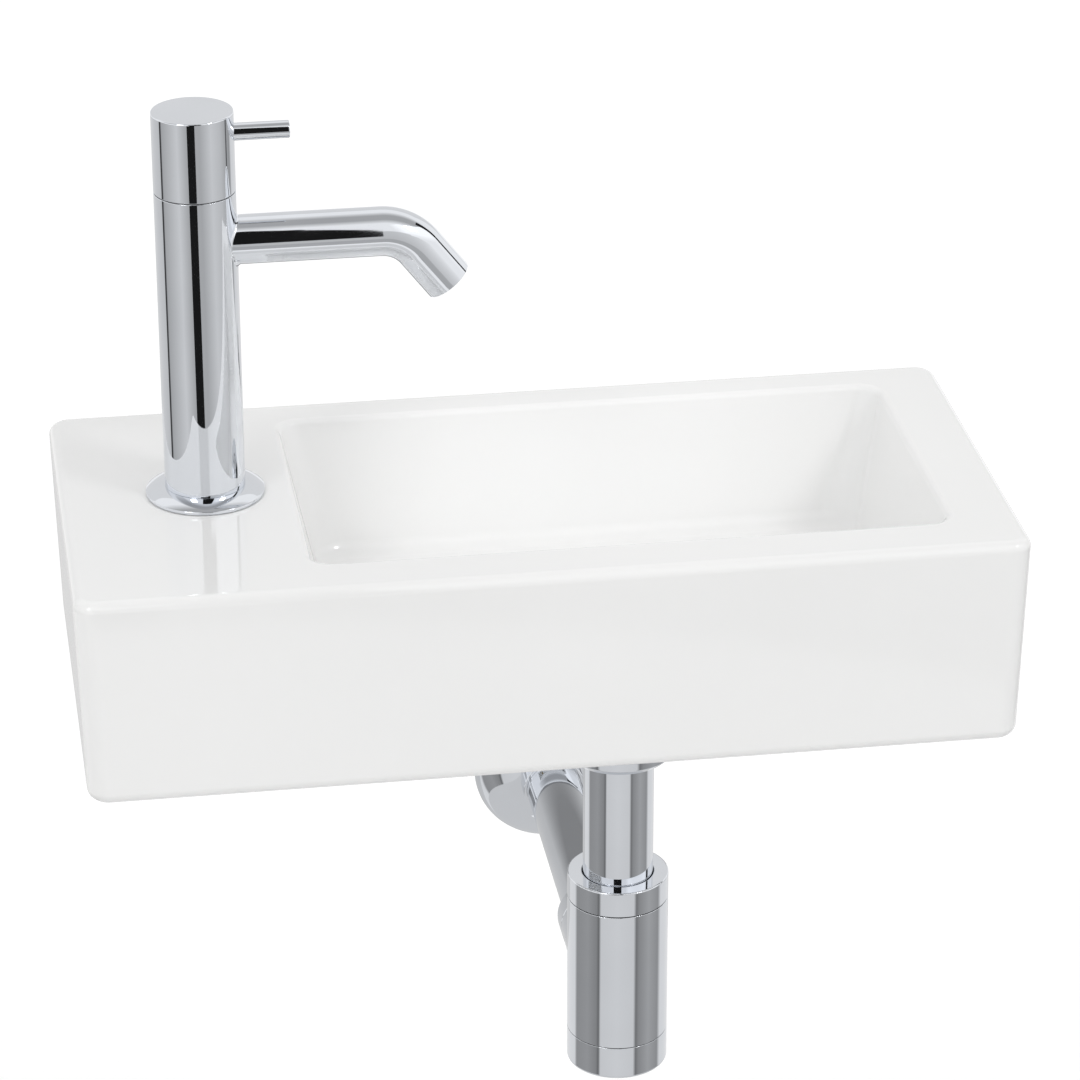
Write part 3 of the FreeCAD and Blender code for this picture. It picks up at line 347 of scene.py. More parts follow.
# %% Cards for the column and the lever
BLACK = 0.012
CLOTH_Y = -1.6
COLUMN_CLOTH_Y = -1.1
FOOT_CLOTH_Y = -0.285
TAP_STOPS = [(-180, 0.8), (-118, 0.66), (-106, 0.62), (-104, 0.04), (-100, 0.04), (-96, 0.45), (-70, 0.58),
             (-45, 0.72), (-18, 0.47), (18, 0.47), (50, 0.7), (80, 0.6), (100, 0.45), (102, 0.1), (105, 0.1),
             (107, 0.42), (118, 0.35), (126, 0.78), (180, 0.8)]
SPOUT_CLOTH = [(-0.05, 0.05), (0.105, 0.05), (0.112, 0.95), (0.1, 1.6), (0.085, 2.3), (-0.05, 2.3)]
FOOT_CLOTH = [(-0.172, 0.157), (-0.058, 0.157), (-0.066, 0.384), (-0.19, 0.384)]
COLUMN_CLOTH = oblong(left=-0.5, right=-0.105, low=-0.44, high=-0.1)
tap_cards = [
    ring_card("card_ring_tap", TAP_AXIS, near=1.02, far=2.4, layer=3, stops=TAP_STOPS),
    flat_card("card_column", upright(COLUMN_CLOTH_Y, COLUMN_CLOTH), BLACK),
    flat_card("card_spout", upright(CLOTH_Y, SPOUT_CLOTH), BLACK),
    flat_card("card_foot", upright(FOOT_CLOTH_Y, FOOT_CLOTH), BLACK),
]
print("cards for column and lever:", len(tap_cards))

# %% [markdown]
# The spout's bend turns from the front to the right and to the ceiling within a few centimetres, so it needs
# cards of its own. A white card makes its highlight, a long black one beside it a thin dark line, and a
# board that pales to the right gives the tip its soft shading.

# %% Cards for the spout's bend
TIP_ROWS = [(-0.44, (0.54, 0.95)), (0.85, (0.58, 0.97)), (1.05, (1.0, 1.0))]
HIGHLIGHT = 1.25
HIGHLIGHT_CORNERS = [(1.2, -2.3, 1.3), (2.7, -0.2, 1.3), (2.7, -0.2, 2.9), (1.2, -2.3, 2.9)]
BEND_CLOTH_X = 2.2
BEND_CLOTH = [(0.25, 0.3), (0.62, 0.3), (0.55, 0.8), (0.5, 1.5), (0.47, 3.4), (-0.7, 3.4), (0.03, 1.45),
              (0.25, 0.75)]
bend_cards = [
    board("card_tip", y=-2.3, columns=(-0.3, 3.2), rows=TIP_ROWS),
    flat_card("card_white", HIGHLIGHT_CORNERS, HIGHLIGHT, soft=0.5),
    flat_card("card_bend", edgeways(BEND_CLOTH_X, BEND_CLOTH), BLACK),
]
print("cards for the bend:", len(bend_cards))

# %% [markdown]
# The trap hangs nearer the floor, so its ring is small. A disc inside it and a paler ring outside it carry
# on the grey below and above the trap's bands. A cloth in front makes the dark mark where the tube enters
# the collar. The outlet tube runs away from the eye and mirrors a board behind it and a strip on the floor.

# %% Cards for the trap
TRAP_STOPS = [(-180, 0.85), (-112, 0.8), (-104, 0.32), (-70, 0.36), (-48, 0.28), (-42, 0.16), (-37, 0.7),
              (0, 0.74), (37, 0.7), (43, 0.2), (50, 0.3), (75, 0.42), (104, 0.33), (114, 0.8), (180, 0.85)]
DISC_STOPS = [(-180, 0.66), (180, 0.66)]
OUTER_STOPS = [(-180, 0.8), (-125, 0.8), (-105, 1.0), (105, 1.0), (125, 0.8), (180, 0.8)]
PIPE_ROWS = [(-0.32, (0.66, 0.66)), (-0.19, (0.56, 0.56)), (-0.12, (0.27, 0.27)), (-0.03, (0.27, 0.27))]
COLLAR_CLOTH = oblong(left=-0.6, right=-0.05, low=0.3, high=0.9)
STRIP = oblong(left=-0.3, right=-0.15, low=0.45, high=1.25)
STRIP_LAYER = 5
STRIP_Z = FLOOR_Z + STRIP_LAYER * SHEET_GAP
STRIP_GREY = 0.68
trap_cards = [
    ring_card("card_ring_trap", DRAIN_AXIS, near=0.33, far=0.78, layer=4, stops=TRAP_STOPS),
    ring_card("card_disc", DRAIN_AXIS, near=0.02, far=0.33, layer=4, stops=DISC_STOPS),
    ring_card("card_ring_back", DRAIN_AXIS, near=0.78, far=1.3, layer=2, stops=OUTER_STOPS),
    flat_card("card_collar", upright(CLOTH_Y, COLLAR_CLOTH), BLACK),
    board("card_pipe", y=0.16, columns=(-0.13, 0.19), rows=PIPE_ROWS),
    flat_card("card_side", lying(STRIP_Z, STRIP), STRIP_GREY),
]
print("cards for the trap:", len(trap_cards))

# %% [markdown]
# Level faces, such as the head's top, mirror what is far behind, and sloping ones the ceiling. A pale grey
# card in each place keeps them from going as white as the room.

# %% Cards behind and overhead
BACK_GREY = 0.8
CEILING_GREY = 0.45
BACK_Y = 3.0
BACK_CARD = oblong(left=-3.0, right=3.0, low=0.35, high=3.0)
CEILING_Z = 2.4
CEILING_CARD = oblong(left=-1.6, right=2.6, low=-0.7, high=0.2)
flat_card("card_back", upright(BACK_Y, BACK_CARD), BACK_GREY)
flat_card("card_ceiling", lying(CEILING_Z, CEILING_CARD), CEILING_GREY, soft=2.0)

# %% [markdown]
# Two soft lamps stand in front, one to each side, and shape the glaze. One alone would leave an end of the
# bowl flat. Each leaves its own end in a soft shadow and a small spark on the rounded corners.

# %% Soft lamps
SOFT_WATTS = 8.2


def aim(lamp, place, target):
    """Puts a lamp in its place and turns it to the target."""
    lamp.location = place
    lamp.rotation_euler = (Vector(target) - Vector(place)).to_track_quat("-Z", "Y").to_euler()


def soft_lamp(name, place, size):
    """A square soft box that faces the basin."""
    data = bpy.data.lights.new(name, "AREA")
    data.shape = "SQUARE"
    data.size = size
    data.energy = SOFT_WATTS
    aim(new_object(name, data), place, BASIN_MIDDLE)


soft_lamp("lamp_left", place=(-1.35, -1.45, 1.65), size=0.6)
soft_lamp("lamp_right", place=(1.4, -1.35, 1.7), size=0.5)
print("soft lamps of", SOFT_WATTS, "watts")

# %% [markdown]
# A third lamp has a snoot, a tube that keeps its beam narrow. It looks over the front rim at the bowl's back
# wall and lifts it, while the rim and the front stay as they are. A lamp's own scale stretches a spot's beam
# sideways, so one lamp covers the long wall.

# %% Lamp with a snoot
SNOOT_WATTS = 46.0
BEAM_HEIGHT = math.radians(2.4)
BEAM_STRETCH = 3.1
BEAM_BLEND = 0.8
BULB_R = 0.06
snoot = bpy.data.lights.new("lamp_bowl", "SPOT")
snoot.energy = SNOOT_WATTS
snoot.spot_size = BEAM_HEIGHT
snoot.spot_blend = BEAM_BLEND
snoot.shadow_soft_size = BULB_R
bowl_lamp = new_object("lamp_bowl", snoot)
bowl_lamp.scale = (BEAM_STRETCH, 1.0, 1.0)
bowl_lamp.visible_glossy = False
aim(bowl_lamp, place=(0.03, -1.9, 1.6), target=(0.024, -0.028, 0.03))

# %% [markdown]
# ## Finishes
#
# Each finish is a small node tree that reads Object coordinates, so it stays on the piece when the piece
# moves. A plain colour would be quicker, but no real surface is the same all over: noise varies the colour
# and the roughness a little, and a bump far below a millimetre gives the surface its faint waves.

# %% Parts of a finish
NOISE_SPAN = (0.3, 0.7)


def cloud(tree, place, scale, detail):
    """Noise at that scale."""
    made = node(tree, "ShaderNodeTexNoise")
    made.inputs["Scale"].default_value = scale
    made.inputs["Detail"].default_value = detail
    wire(tree, (place, made.inputs["Vector"]))
    return made.outputs["Fac"]


def tint(tree, noise, dark, pale):
    """A colour that runs with the noise."""
    ramp = node(tree, "ShaderNodeValToRGB")
    for stop, position, colour in zip(ramp.color_ramp.elements, NOISE_SPAN, (dark, pale)):
        stop.position = position
        stop.color = (*colour, 1.0)
    wire(tree, (noise, ramp.inputs["Fac"]))
    return ramp.outputs["Color"]


def waves(tree, noise, height):
    """A bump of that height in metres."""
    rise = node(tree, "ShaderNodeBump")
    rise.inputs["Strength"].default_value = 1.0
    rise.inputs["Distance"].default_value = height
    wire(tree, (noise, rise.inputs["Height"]))
    return rise.outputs["Normal"]


print("noise is read from", NOISE_SPAN[0], "to", NOISE_SPAN[1])

# %% A finish from noise
COLOUR_DETAIL = 4.0
BUMP_DETAIL = 2.0
FINISHES = {}


def finish(slot, dark, pale, scale, rough, metal=0.0, bump=0.0, bump_scale=1.0, stretch=(1.0, 1.0, 1.0),
           **sockets):
    """The finish for a material slot. Sockets name further shader inputs, with _ for a space."""
    made = bpy.data.materials.new(slot + "_finish")
    made.use_nodes = True
    tree = made.node_tree
    shader = tree.nodes["Principled BSDF"]
    where = node(tree, "ShaderNodeTexCoord")
    mapping = node(tree, "ShaderNodeMapping")
    mapping.inputs["Scale"].default_value = stretch
    place = mapping.outputs["Vector"]
    noise = cloud(tree, place, scale, COLOUR_DETAIL)
    wire(tree,
         (where.outputs["Object"], mapping.inputs["Vector"]),
         (tint(tree, noise, dark, pale), shader.inputs["Base Color"]),
         (map_range(tree, noise, NOISE_SPAN, rough), shader.inputs["Roughness"]))
    shader.inputs["Metallic"].default_value = metal
    for socket, value in sockets.items():
        shader.inputs[socket.replace("_", " ")].default_value = value
    if bump:
        normal = waves(tree, cloud(tree, place, bump_scale, BUMP_DETAIL), bump)
        wire(tree, (normal, shader.inputs["Normal"]))
    FINISHES[slot] = made


print("finishes so far:", len(FINISHES))

# %% [markdown]
# The basin's glaze is white glass over white clay. A clear coat on a pale base gives its two soft layers of
# gloss, where a single rough one would look like plastic. Its waves are wide and very low.
#
# Chrome is a thin bluish mirror. It is nearly smooth all over, so its life comes from the cards.

# %% Glaze and chrome
finish("white_glaze", dark=(0.91, 0.91, 0.905), pale=(0.925, 0.925, 0.92), scale=9.0, rough=(0.05, 0.09),
       bump=0.00003, bump_scale=55.0, IOR=1.5, Coat_Weight=0.3, Coat_Roughness=0.03)
finish("bright_chrome", dark=(0.745, 0.767, 0.805), pale=(0.775, 0.797, 0.835), scale=40.0,
       rough=(0.02, 0.05), metal=1.0)
print("finishes:", list(FINISHES))

# %% [markdown]
# Inside the tap are plain materials: turned brass with fine rings along its axis, zinc-plated steel, and the
# hard ceramic of the valve's discs. Seals are black rubber and the slip ring is grey plastic, both dull and
# finely grained. They hardly show, but each needs its own finish when the tap is taken apart.

# %% Finishes inside
finish("bare_brass", dark=(0.60, 0.44, 0.17), pale=(0.74, 0.57, 0.27), scale=120.0, rough=(0.22, 0.38),
       metal=1.0, bump=0.00002, bump_scale=400.0, stretch=(0.3, 0.3, 6.0))
finish("zinc_steel", dark=(0.44, 0.45, 0.47), pale=(0.60, 0.61, 0.62), scale=160.0, rough=(0.25, 0.42),
       metal=1.0, bump=0.00002, bump_scale=500.0)
finish("disc_ceramic", dark=(0.80, 0.78, 0.72), pale=(0.87, 0.85, 0.80), scale=200.0, rough=(0.18, 0.30))
finish("black_rubber", dark=(0.016, 0.016, 0.017), pale=(0.035, 0.035, 0.036), scale=220.0,
       rough=(0.55, 0.75), bump=0.00004, bump_scale=900.0)
finish("grey_plastic", dark=(0.10, 0.10, 0.105), pale=(0.15, 0.15, 0.155), scale=180.0, rough=(0.32, 0.48),
       bump=0.00002, bump_scale=800.0)
print("finishes:", list(FINISHES))

# %% [markdown]
# ## The CAD pieces that stay
#
# Seals, washers, the headwork and the screws are hardly seen and have the right shape already. They keep
# their CAD mesh and get the finish that the record names for them.

# %% Finishes on the CAD pieces
slot_of = {row["node"]: row["material_slot"] for row in frame["record"]["subparts"]}
for name, piece in frame["nodes"].items():
    piece.data.materials.clear()
    piece.data.materials.append(FINISHES[slot_of[name]])
print("finished CAD pieces:", len(slot_of))

# %% [markdown]
# ## Turned pieces
#
# A tap and a trap are mostly turned on a lathe, and so are their meshes. The outline of a half section is a
# list of corners, each with a radius, a height and perhaps a rounding. A rounded corner becomes a small arc,
# because a real chromed edge is never sharp and its bright line shows the form. A Bevel modifier could round
# the edges later, but the outline lets each have its own size.

# %% Outline with rounded corners
ARC_STEPS = 6
LONGEST_REACH = 0.49


def rounded_corner(here, before, after, rounding, steps):
    """The arc at a corner. Before and after lead from it to its neighbours."""
    half = before.angle(after) / 2
    reach = min(rounding / math.tan(half), LONGEST_REACH * before.length, LONGEST_REACH * after.length)
    bisector = (before.normalized() + after.normalized()).normalized()
    centre = here + bisector * (reach * math.tan(half)) / math.sin(half)
    start = here + before.normalized() * reach - centre
    turn = start.angle_signed(here + after.normalized() * reach - centre)
    spins = [Matrix.Rotation(-turn * step / steps, 2) for step in range(steps + 1)]
    return [tuple(centre + spin @ start) for spin in spins]


def rounded_outline(corners, closed=False, steps=ARC_STEPS):
    """The outline's points. An open outline keeps its two ends as they are."""
    points = []
    count = len(corners)
    for index, (radius, height, *rounding) in enumerate(corners):
        inner = closed or 0 < index < count - 1
        if not rounding or not inner:
            points.append((radius, height))
            continue
        here = Vector((radius, height))
        before = Vector(corners[index - 1][:2]) - here
        after = Vector(corners[(index + 1) % count][:2]) - here
        points += rounded_corner(here, before, after, rounding[0], steps)
    return points


print("a square corner becomes", len(rounded_outline([(0, 0), (1, 0, 0.1), (1, 1)])), "points")

# %% [markdown]
# The outline is then spun about the axis: each of its points becomes a ring, and neighbouring rings are
# joined with quads. A point on the axis stays one point and closes the shape with a fan. Blender's Screw
# modifier spins too, but the rings joined here serve the basin and the spout as well.

# %% Rings
SPIN_STEPS = 128
ON_AXIS = 1e-6


def spin_ring(mesh, radius, height):
    """The ring of one outline point, in metres."""
    if radius < ON_AXIS:
        return [mesh.verts.new((0.0, 0.0, height * MM))]
    ring = []
    for step in range(SPIN_STEPS):
        angle = 2 * math.pi * step / SPIN_STEPS
        point = (radius * math.cos(angle) * MM, radius * math.sin(angle) * MM, height * MM)
        ring.append(mesh.verts.new(point))
    return ring


def join_rings(mesh, lower, upper):
    """Faces between two rings, of which one may be a single point."""
    steps = max(len(lower), len(upper))
    for step in range(steps):
        after = (step + 1) % steps
        if len(lower) == 1:
            mesh.faces.new((lower[0], upper[after], upper[step]))
        elif len(upper) == 1:
            mesh.faces.new((lower[step], lower[after], upper[0]))
        else:
            mesh.faces.new((lower[step], lower[after], upper[after], upper[step]))


print("spun pieces have", SPIN_STEPS, "sides")

# %% Spin an outline


def mesh_piece(name, mesh):
    """The piece that a finished bmesh makes."""
    data = bpy.data.meshes.new(name)
    mesh.to_mesh(data)
    mesh.free()
    return new_object(name, data)


def spun_piece(name, corners, place, closed=False):
    """Corners in millimetres; place is the matrix that sets the spun Z axis on the piece's own axis."""
    mesh = bmesh.new()
    rings = [spin_ring(mesh, radius, height) for radius, height in rounded_outline(corners, closed)]
    pairs = list(zip(rings, rings[1:]))
    if closed:
        pairs.append((rings[-1], rings[0]))
    for lower, upper in pairs:
        join_rings(mesh, lower, upper)
    bmesh.ops.recalc_face_normals(mesh, faces=mesh.faces)
    piece = mesh_piece(name, mesh)
    piece.data.transform(place)
    return piece


def rod(name, radius, start, end, place):
    """A plain rod, used as a drill."""
    return spun_piece(name, [(0, start), (radius, start), (radius, end), (0, end)], place)


print("lathe and drill ready")

# %% [markdown]
# Where two turned forms meet, as at a branch or a hole, a boolean joins or cuts them. At the end each piece
# gets sharp edges where faces meet steeply, and normals weighted by face area. That keeps the big faces flat
# in the mirror and leaves the shading's turn to the small roundings.

# %% Cut and join
def settle(piece):
    """Turns a piece's modifiers into plain mesh."""
    bpy.context.view_layer.update()
    graph = bpy.context.evaluated_depsgraph_get()
    done = bpy.data.meshes.new_from_object(piece.evaluated_get(graph), depsgraph=graph)
    old = piece.data
    piece.modifiers.clear()
    piece.data = done
    done.name = piece.name
    bpy.data.meshes.remove(old)
    return piece


def carve(piece, tool, operation="DIFFERENCE"):
    """Cuts the tool out of the piece, or joins it on, and throws the tool away."""
    step = piece.modifiers.new("carve", "BOOLEAN")
    step.operation = operation
    step.solver = "EXACT"
    step.object = tool
    settle(piece)
    bpy.data.objects.remove(tool)
    return piece


print("carving ready")

# %% Finish a piece
SHARP_ABOVE = math.radians(38)


def complete(piece, body, slot, *nodes):
    """Shades the piece, gives it its finish and lets it stand for its CAD nodes."""
    piece.data.materials.clear()
    piece.data.materials.append(FINISHES[slot])
    for face in piece.data.polygons:
        face.use_smooth = True
    piece.data.set_sharp_from_angle(angle=SHARP_ABOVE)
    weigh = piece.modifiers.new("weigh", "WEIGHTED_NORMAL")
    weigh.keep_sharp = True
    settle(piece)
    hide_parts(*nodes)
    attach(piece, body)
    corners = [v.co for v in piece.data.vertices]
    low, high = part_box(nodes[0])
    off = [abs(a - b) for a, b in zip(map(min, *corners), low)]
    off += [abs(a - b) for a, b in zip(map(max, *corners), high)]
    print(piece.name, len(piece.data.polygons), "faces,", round(max(off) / MM, 2), "mm off its CAD box")
    return piece


print("sharp above", round(math.degrees(SHARP_ABOVE)), "degrees")

# %% [markdown]
# ## The basin
#
# The basin is slip cast: one shell of ceramic, rounded everywhere because glaze runs off sharp edges. Boxes
# and booleans would give its shape but not its soft edges. So it is a chain of closed loops, each a
# rectangle with round corners. The chain starts under the front skirt, goes up the outside, over the rim,
# down into the bowl, through the drain hole and back along the underside. All loops have the same number of
# points, so neighbours are simply joined with quads.

# %% Loops for the basin
CORNER_STEPS = 10
LONG_SIDE_STEPS = 36
SHORT_SIDE_STEPS = 22
SMALLEST_R = 0.05


def on_circle(x, y, radius, angle, z):
    """A point on a circle about x and y."""
    return Vector((x + radius * math.cos(angle), y + radius * math.sin(angle), z))


def rectangle_loop(x0, x1, y0, y1, corner_r, z):
    """A rectangle with round corners, in millimetres, counter-clockwise from the front right corner."""
    r = max(corner_r, SMALLEST_R)
    corners = [(x1 - r, y0 + r, -90), (x1 - r, y1 - r, 0), (x0 + r, y1 - r, 90), (x0 + r, y0 + r, 180)]
    points = []
    for index, (x, y, start) in enumerate(corners):
        for step in range(CORNER_STEPS + 1):
            points.append(on_circle(x, y, r, math.radians(start + 90 * step / CORNER_STEPS), z))
        next_x, next_y, next_start = corners[(index + 1) % 4]
        last = points[-1].copy()
        first = on_circle(next_x, next_y, r, math.radians(next_start), z)
        steps = SHORT_SIDE_STEPS if index % 2 == 0 else LONG_SIDE_STEPS
        points += [last.lerp(first, step / steps) for step in range(1, steps)]
    return points


print("points in a loop:", len(rectangle_loop(0, 100, 0, 50, 5, 0)))

# %% Outside of the basin
HALF_W = 192.5
FRONT_Y = -185.0
BASIN_H = 90.0
BACK_GRIND = 1.5
SIDE_DRAFT = 2.5
FRONT_DRAFT = 1.5
CORNER_R = 9.0
TOP_EDGE_R = 4.5
FOOT_EDGE_R = 5.0
EDGE_STEPS = 8
RIM = rim_z / MM
FOOT = RIM - BASIN_H


def outside_loop(height, inset):
    """The outside at a height, drawn in by inset. Its back is ground flat at the wall."""
    share = 1.0 - (height - FOOT) / (RIM - FOOT)
    side = HALF_W - SIDE_DRAFT * share - inset
    front = FRONT_Y + FRONT_DRAFT * share + inset
    loop = rectangle_loop(-side, side, front, BACK_GRIND - inset, CORNER_R - inset, height)
    for point in loop:
        point.y = min(point.y, 0.0)
    return loop


foot_edge = []
top_edge = []
for step in range(EDGE_STEPS + 1):
    angle = math.radians(90 * step / EDGE_STEPS)
    begun = 1 - math.cos(angle)
    to_go = 1 - math.sin(angle)
    foot_edge.append(outside_loop(FOOT + FOOT_EDGE_R * begun, FOOT_EDGE_R * to_go))
    top_edge.append(outside_loop(RIM - TOP_EDGE_R * to_go, TOP_EDGE_R * begun))
print("loops outside:", len(foot_edge) + len(top_edge))

# %% [markdown]
# Inside, a section through the bowl's wall has two roundings: a tight one at the rim and a wide one at the
# floor. Both are arcs between straight runs, so the helper that rounds lathe outlines rounds this section
# too. Its radius is read as the distance inwards from the bowl's edge.

# %% Bowl
BOWL_LEFT = -96.5
BOWL_RIGHT = 163.5
BOWL_FRONT = -160.0
BOWL_BACK = -18.0
BOWL_CORNER_R = 9.0
FLOOR_CORNER_R = 16.0
BOWL_RUN = 13.0
BOWL_DEPTH = 58.0
RIM_STRIP = 6.0
RIM_EDGE_R = 3.0
FLOOR_EDGE_R = 12.0
BOWL_STEPS = 10
CORNER_GAIN = FLOOR_CORNER_R - BOWL_CORNER_R


def bowl_rectangle(inwards, corner_r, height):
    """The bowl's edge, drawn in and set at a height."""
    left = BOWL_LEFT + inwards
    right = BOWL_RIGHT - inwards
    return rectangle_loop(left, right, BOWL_FRONT + inwards, BOWL_BACK - inwards, corner_r, height)


def bowl_loop(inwards, depth):
    """The bowl's wall at a point of its section. Its corners widen towards the floor."""
    share = min(max(-depth / BOWL_DEPTH, 0.0), 1.0)
    corner_r = BOWL_CORNER_R + CORNER_GAIN * share - (inwards - BOWL_RUN * share)
    return bowl_rectangle(inwards, corner_r, RIM + depth)


section = rounded_outline([
    (-RIM_STRIP, 0.0), (0.0, 0.0, RIM_EDGE_R),
    (BOWL_RUN, -BOWL_DEPTH, FLOOR_EDGE_R), (BOWL_RUN + FLOOR_EDGE_R, -BOWL_DEPTH),
], steps=BOWL_STEPS)
bowl = [bowl_loop(inwards, depth) for inwards, depth in section]
print("bowl section:", len(section), "points")

# %% [markdown]
# The drain is a round hole with a shallow seat for the strainer. A boolean could cut it. As circles with as
# many points as the other loops, it carries the chain from the bowl's floor to the underside instead.

# %% Drain
DRAIN_X = DRAIN_AXIS.x / MM
DRAIN_Y = DRAIN_AXIS.y / MM
SEAT_R = 33.0
SEAT_H = 2.5
SEAT_EDGE = 0.6
SEAT_EDGE_H = 0.5
DRAIN_R = 22.5
FLOOR_T = 12.0


def drain_loop(radius, depth):
    """A circle below the bowl's floor, whose points lie in the directions of the floor's points."""
    angles = [math.atan2(point.y - DRAIN_Y, point.x - DRAIN_X) for point in bowl[-1]]
    return [on_circle(DRAIN_X, DRAIN_Y, radius, angle, RIM - BOWL_DEPTH - depth) for angle in angles]


seat = [drain_loop(SEAT_R + SEAT_EDGE, 0.0), drain_loop(SEAT_R, SEAT_EDGE_H), drain_loop(SEAT_R, SEAT_H)]
drain = seat + [drain_loop(DRAIN_R, SEAT_H), drain_loop(DRAIN_R, FLOOR_T)]
print("drain loops:", len(drain))

# %% [markdown]
# From below a cast basin is a hollow: the bowl's underside hangs between the skirts, and a ledge of even
# thickness joins them. Solidify would make every wall the same, so the loops are set one by one.

# %% Underside
SKIRT_T = 10.0
SKIRT_CORNER_R = 6.0
SKIRT_SOFT = 0.6
BOWL_WALL = 9.0
LEDGE_T = 14.0
UNDER_DEPTH = BOWL_DEPTH + FLOOR_T


def skirt_loop(height, grow=0.0):
    """The hollow behind the skirts at a height, widened by grow."""
    side = HALF_W - SIDE_DRAFT - SKIRT_T + grow
    front = FRONT_Y + FRONT_DRAFT + SKIRT_T - grow
    return rectangle_loop(-side, side, front, grow - SKIRT_T, SKIRT_CORNER_R + grow, height)


share = LEDGE_T / UNDER_DEPTH
ledge_corner_r = BOWL_CORNER_R + BOWL_WALL + CORNER_GAIN * share
under_floor = bowl_rectangle(BOWL_RUN - BOWL_WALL, FLOOR_CORNER_R + BOWL_WALL, RIM - UNDER_DEPTH)
under_ledge = bowl_rectangle(BOWL_RUN * share - BOWL_WALL, ledge_corner_r, RIM - LEDGE_T)
underside = [under_floor, under_ledge, skirt_loop(RIM - LEDGE_T), skirt_loop(FOOT)]
print("loops under the basin:", len(underside))

# %% [markdown]
# Now the loops are joined in one round, and points that fall together are merged. The hole for the tap and
# the two in the back are drilled last, because they cut across the loops.

# %% The finished basin
MERGE_WITHIN = 0.000004
TAP_HOLE_R = 17.0
WALL_HOLE_R = 6.0
WALL_HOLE_X = 165.0
loops = [skirt_loop(FOOT, SKIRT_SOFT)] + foot_edge + top_edge + bowl + drain + underside
mesh = bmesh.new()
rings = [[mesh.verts.new(point * MM) for point in loop] for loop in loops]
for lower, upper in zip(rings, rings[1:] + rings[:1]):
    join_rings(mesh, lower, upper)
bmesh.ops.remove_doubles(mesh, verts=mesh.verts, dist=MERGE_WITHIN)
bmesh.ops.dissolve_degenerate(mesh, dist=MERGE_WITHIN, edges=mesh.edges)
bmesh.ops.recalc_face_normals(mesh, faces=mesh.faces)
basin_shell = mesh_piece("basin_shell", mesh)
carve(basin_shell, rod("tool_tap_hole", TAP_HOLE_R, start=-20, end=5, place=at_tap))
for side in (-1, 1):
    at_wall_hole = Matrix.Translation((side * WALL_HOLE_X * MM, 0.0, 0.0)) @ backwards
    carve(basin_shell, rod("tool_wall_hole", WALL_HOLE_R, start=-15, end=5, place=at_wall_hole))
complete(basin_shell, "basin_set", "white_glaze", "basin")

# %% [markdown]
# ## The tap
#
# The tap stands on a thin flange whose top curves up to the column. A straight cone would mirror one flat
# grey, so the top is an arc that ends level. A groove underneath holds the gasket.

# %% Flange
COLUMN_R = 16.5
FLANGE_R = 24.4
FLANGE_BORE = 10.78
FLANGE_LIFT = 0.3
FLANGE_EDGE = 1.6
FLANGE_TOP = 4.2
FLANGE_ROUND = 0.3
FLANGE_STEPS = 16
GASKET_IN = 13.9
GASKET_OUT = 19.1
GASKET_TOP = 1.7


def falling_arc(inner_r, top, outer_r, foot, steps):
    """From the outer edge inwards: an arc that ends level at the inner radius."""
    fall = top - foot
    spread = outer_r - inner_r
    arc_r = (spread ** 2 + fall ** 2) / (2 * fall)
    whole = 2 * math.atan2(fall, spread)
    angles = [whole * (1 - step / steps) for step in range(steps + 1)]
    return [(inner_r + arc_r * math.sin(a), top - arc_r * (1 - math.cos(a))) for a in angles]


edge, *slope = falling_arc(COLUMN_R, FLANGE_TOP, FLANGE_R, FLANGE_EDGE, FLANGE_STEPS)
flange = spun_piece("tap_flange", [
    (FLANGE_BORE, FLANGE_LIFT), (GASKET_IN, FLANGE_LIFT), (GASKET_IN, GASKET_TOP),
    (GASKET_OUT, GASKET_TOP), (GASKET_OUT, FLANGE_LIFT), (FLANGE_R, FLANGE_LIFT, FLANGE_ROUND),
    (*edge, FLANGE_ROUND), *slope, (FLANGE_BORE, FLANGE_TOP),
], at_tap, closed=True)
complete(flange, "basin_set", "bright_chrome", "tap_base_flange")

# %% [markdown]
# The column is a plain cylinder, bored for the shank below and the valve above. The turning head is the same
# width, and a fine dark seam parts the two. Cylinders would do for the outside, but spinning the whole
# section, bores and all, costs little more and gives both their real walls.

# %% Column
COLUMN_TOP = 131.75
SEAM_ROUND = 0.2
SHANK_BORE = 10.58
SHANK_TOP = 18.2
WATERWAY_R = 5.5
CHAMBER_R = 10.5
CHAMBER_FOOT = 97.0
SPOUT_UP = 110.0
PORT_R = 7.5
column = spun_piece("tap_column", [
    (SHANK_BORE, FLANGE_TOP), (COLUMN_R, FLANGE_TOP, SEAM_ROUND), (COLUMN_R, COLUMN_TOP, SEAM_ROUND),
    (CHAMBER_R, COLUMN_TOP), (CHAMBER_R, CHAMBER_FOOT), (WATERWAY_R, CHAMBER_FOOT),
    (WATERWAY_R, SHANK_TOP), (SHANK_BORE, SHANK_TOP),
], at_tap, closed=True)
at_spout = at_tap @ Matrix.Translation((0.0, 0.0, SPOUT_UP * MM)) @ sideways
carve(column, rod("tool_spout_port", PORT_R, start=1, end=22, place=at_spout))
complete(column, "basin_set", "bright_chrome", "tap_body")

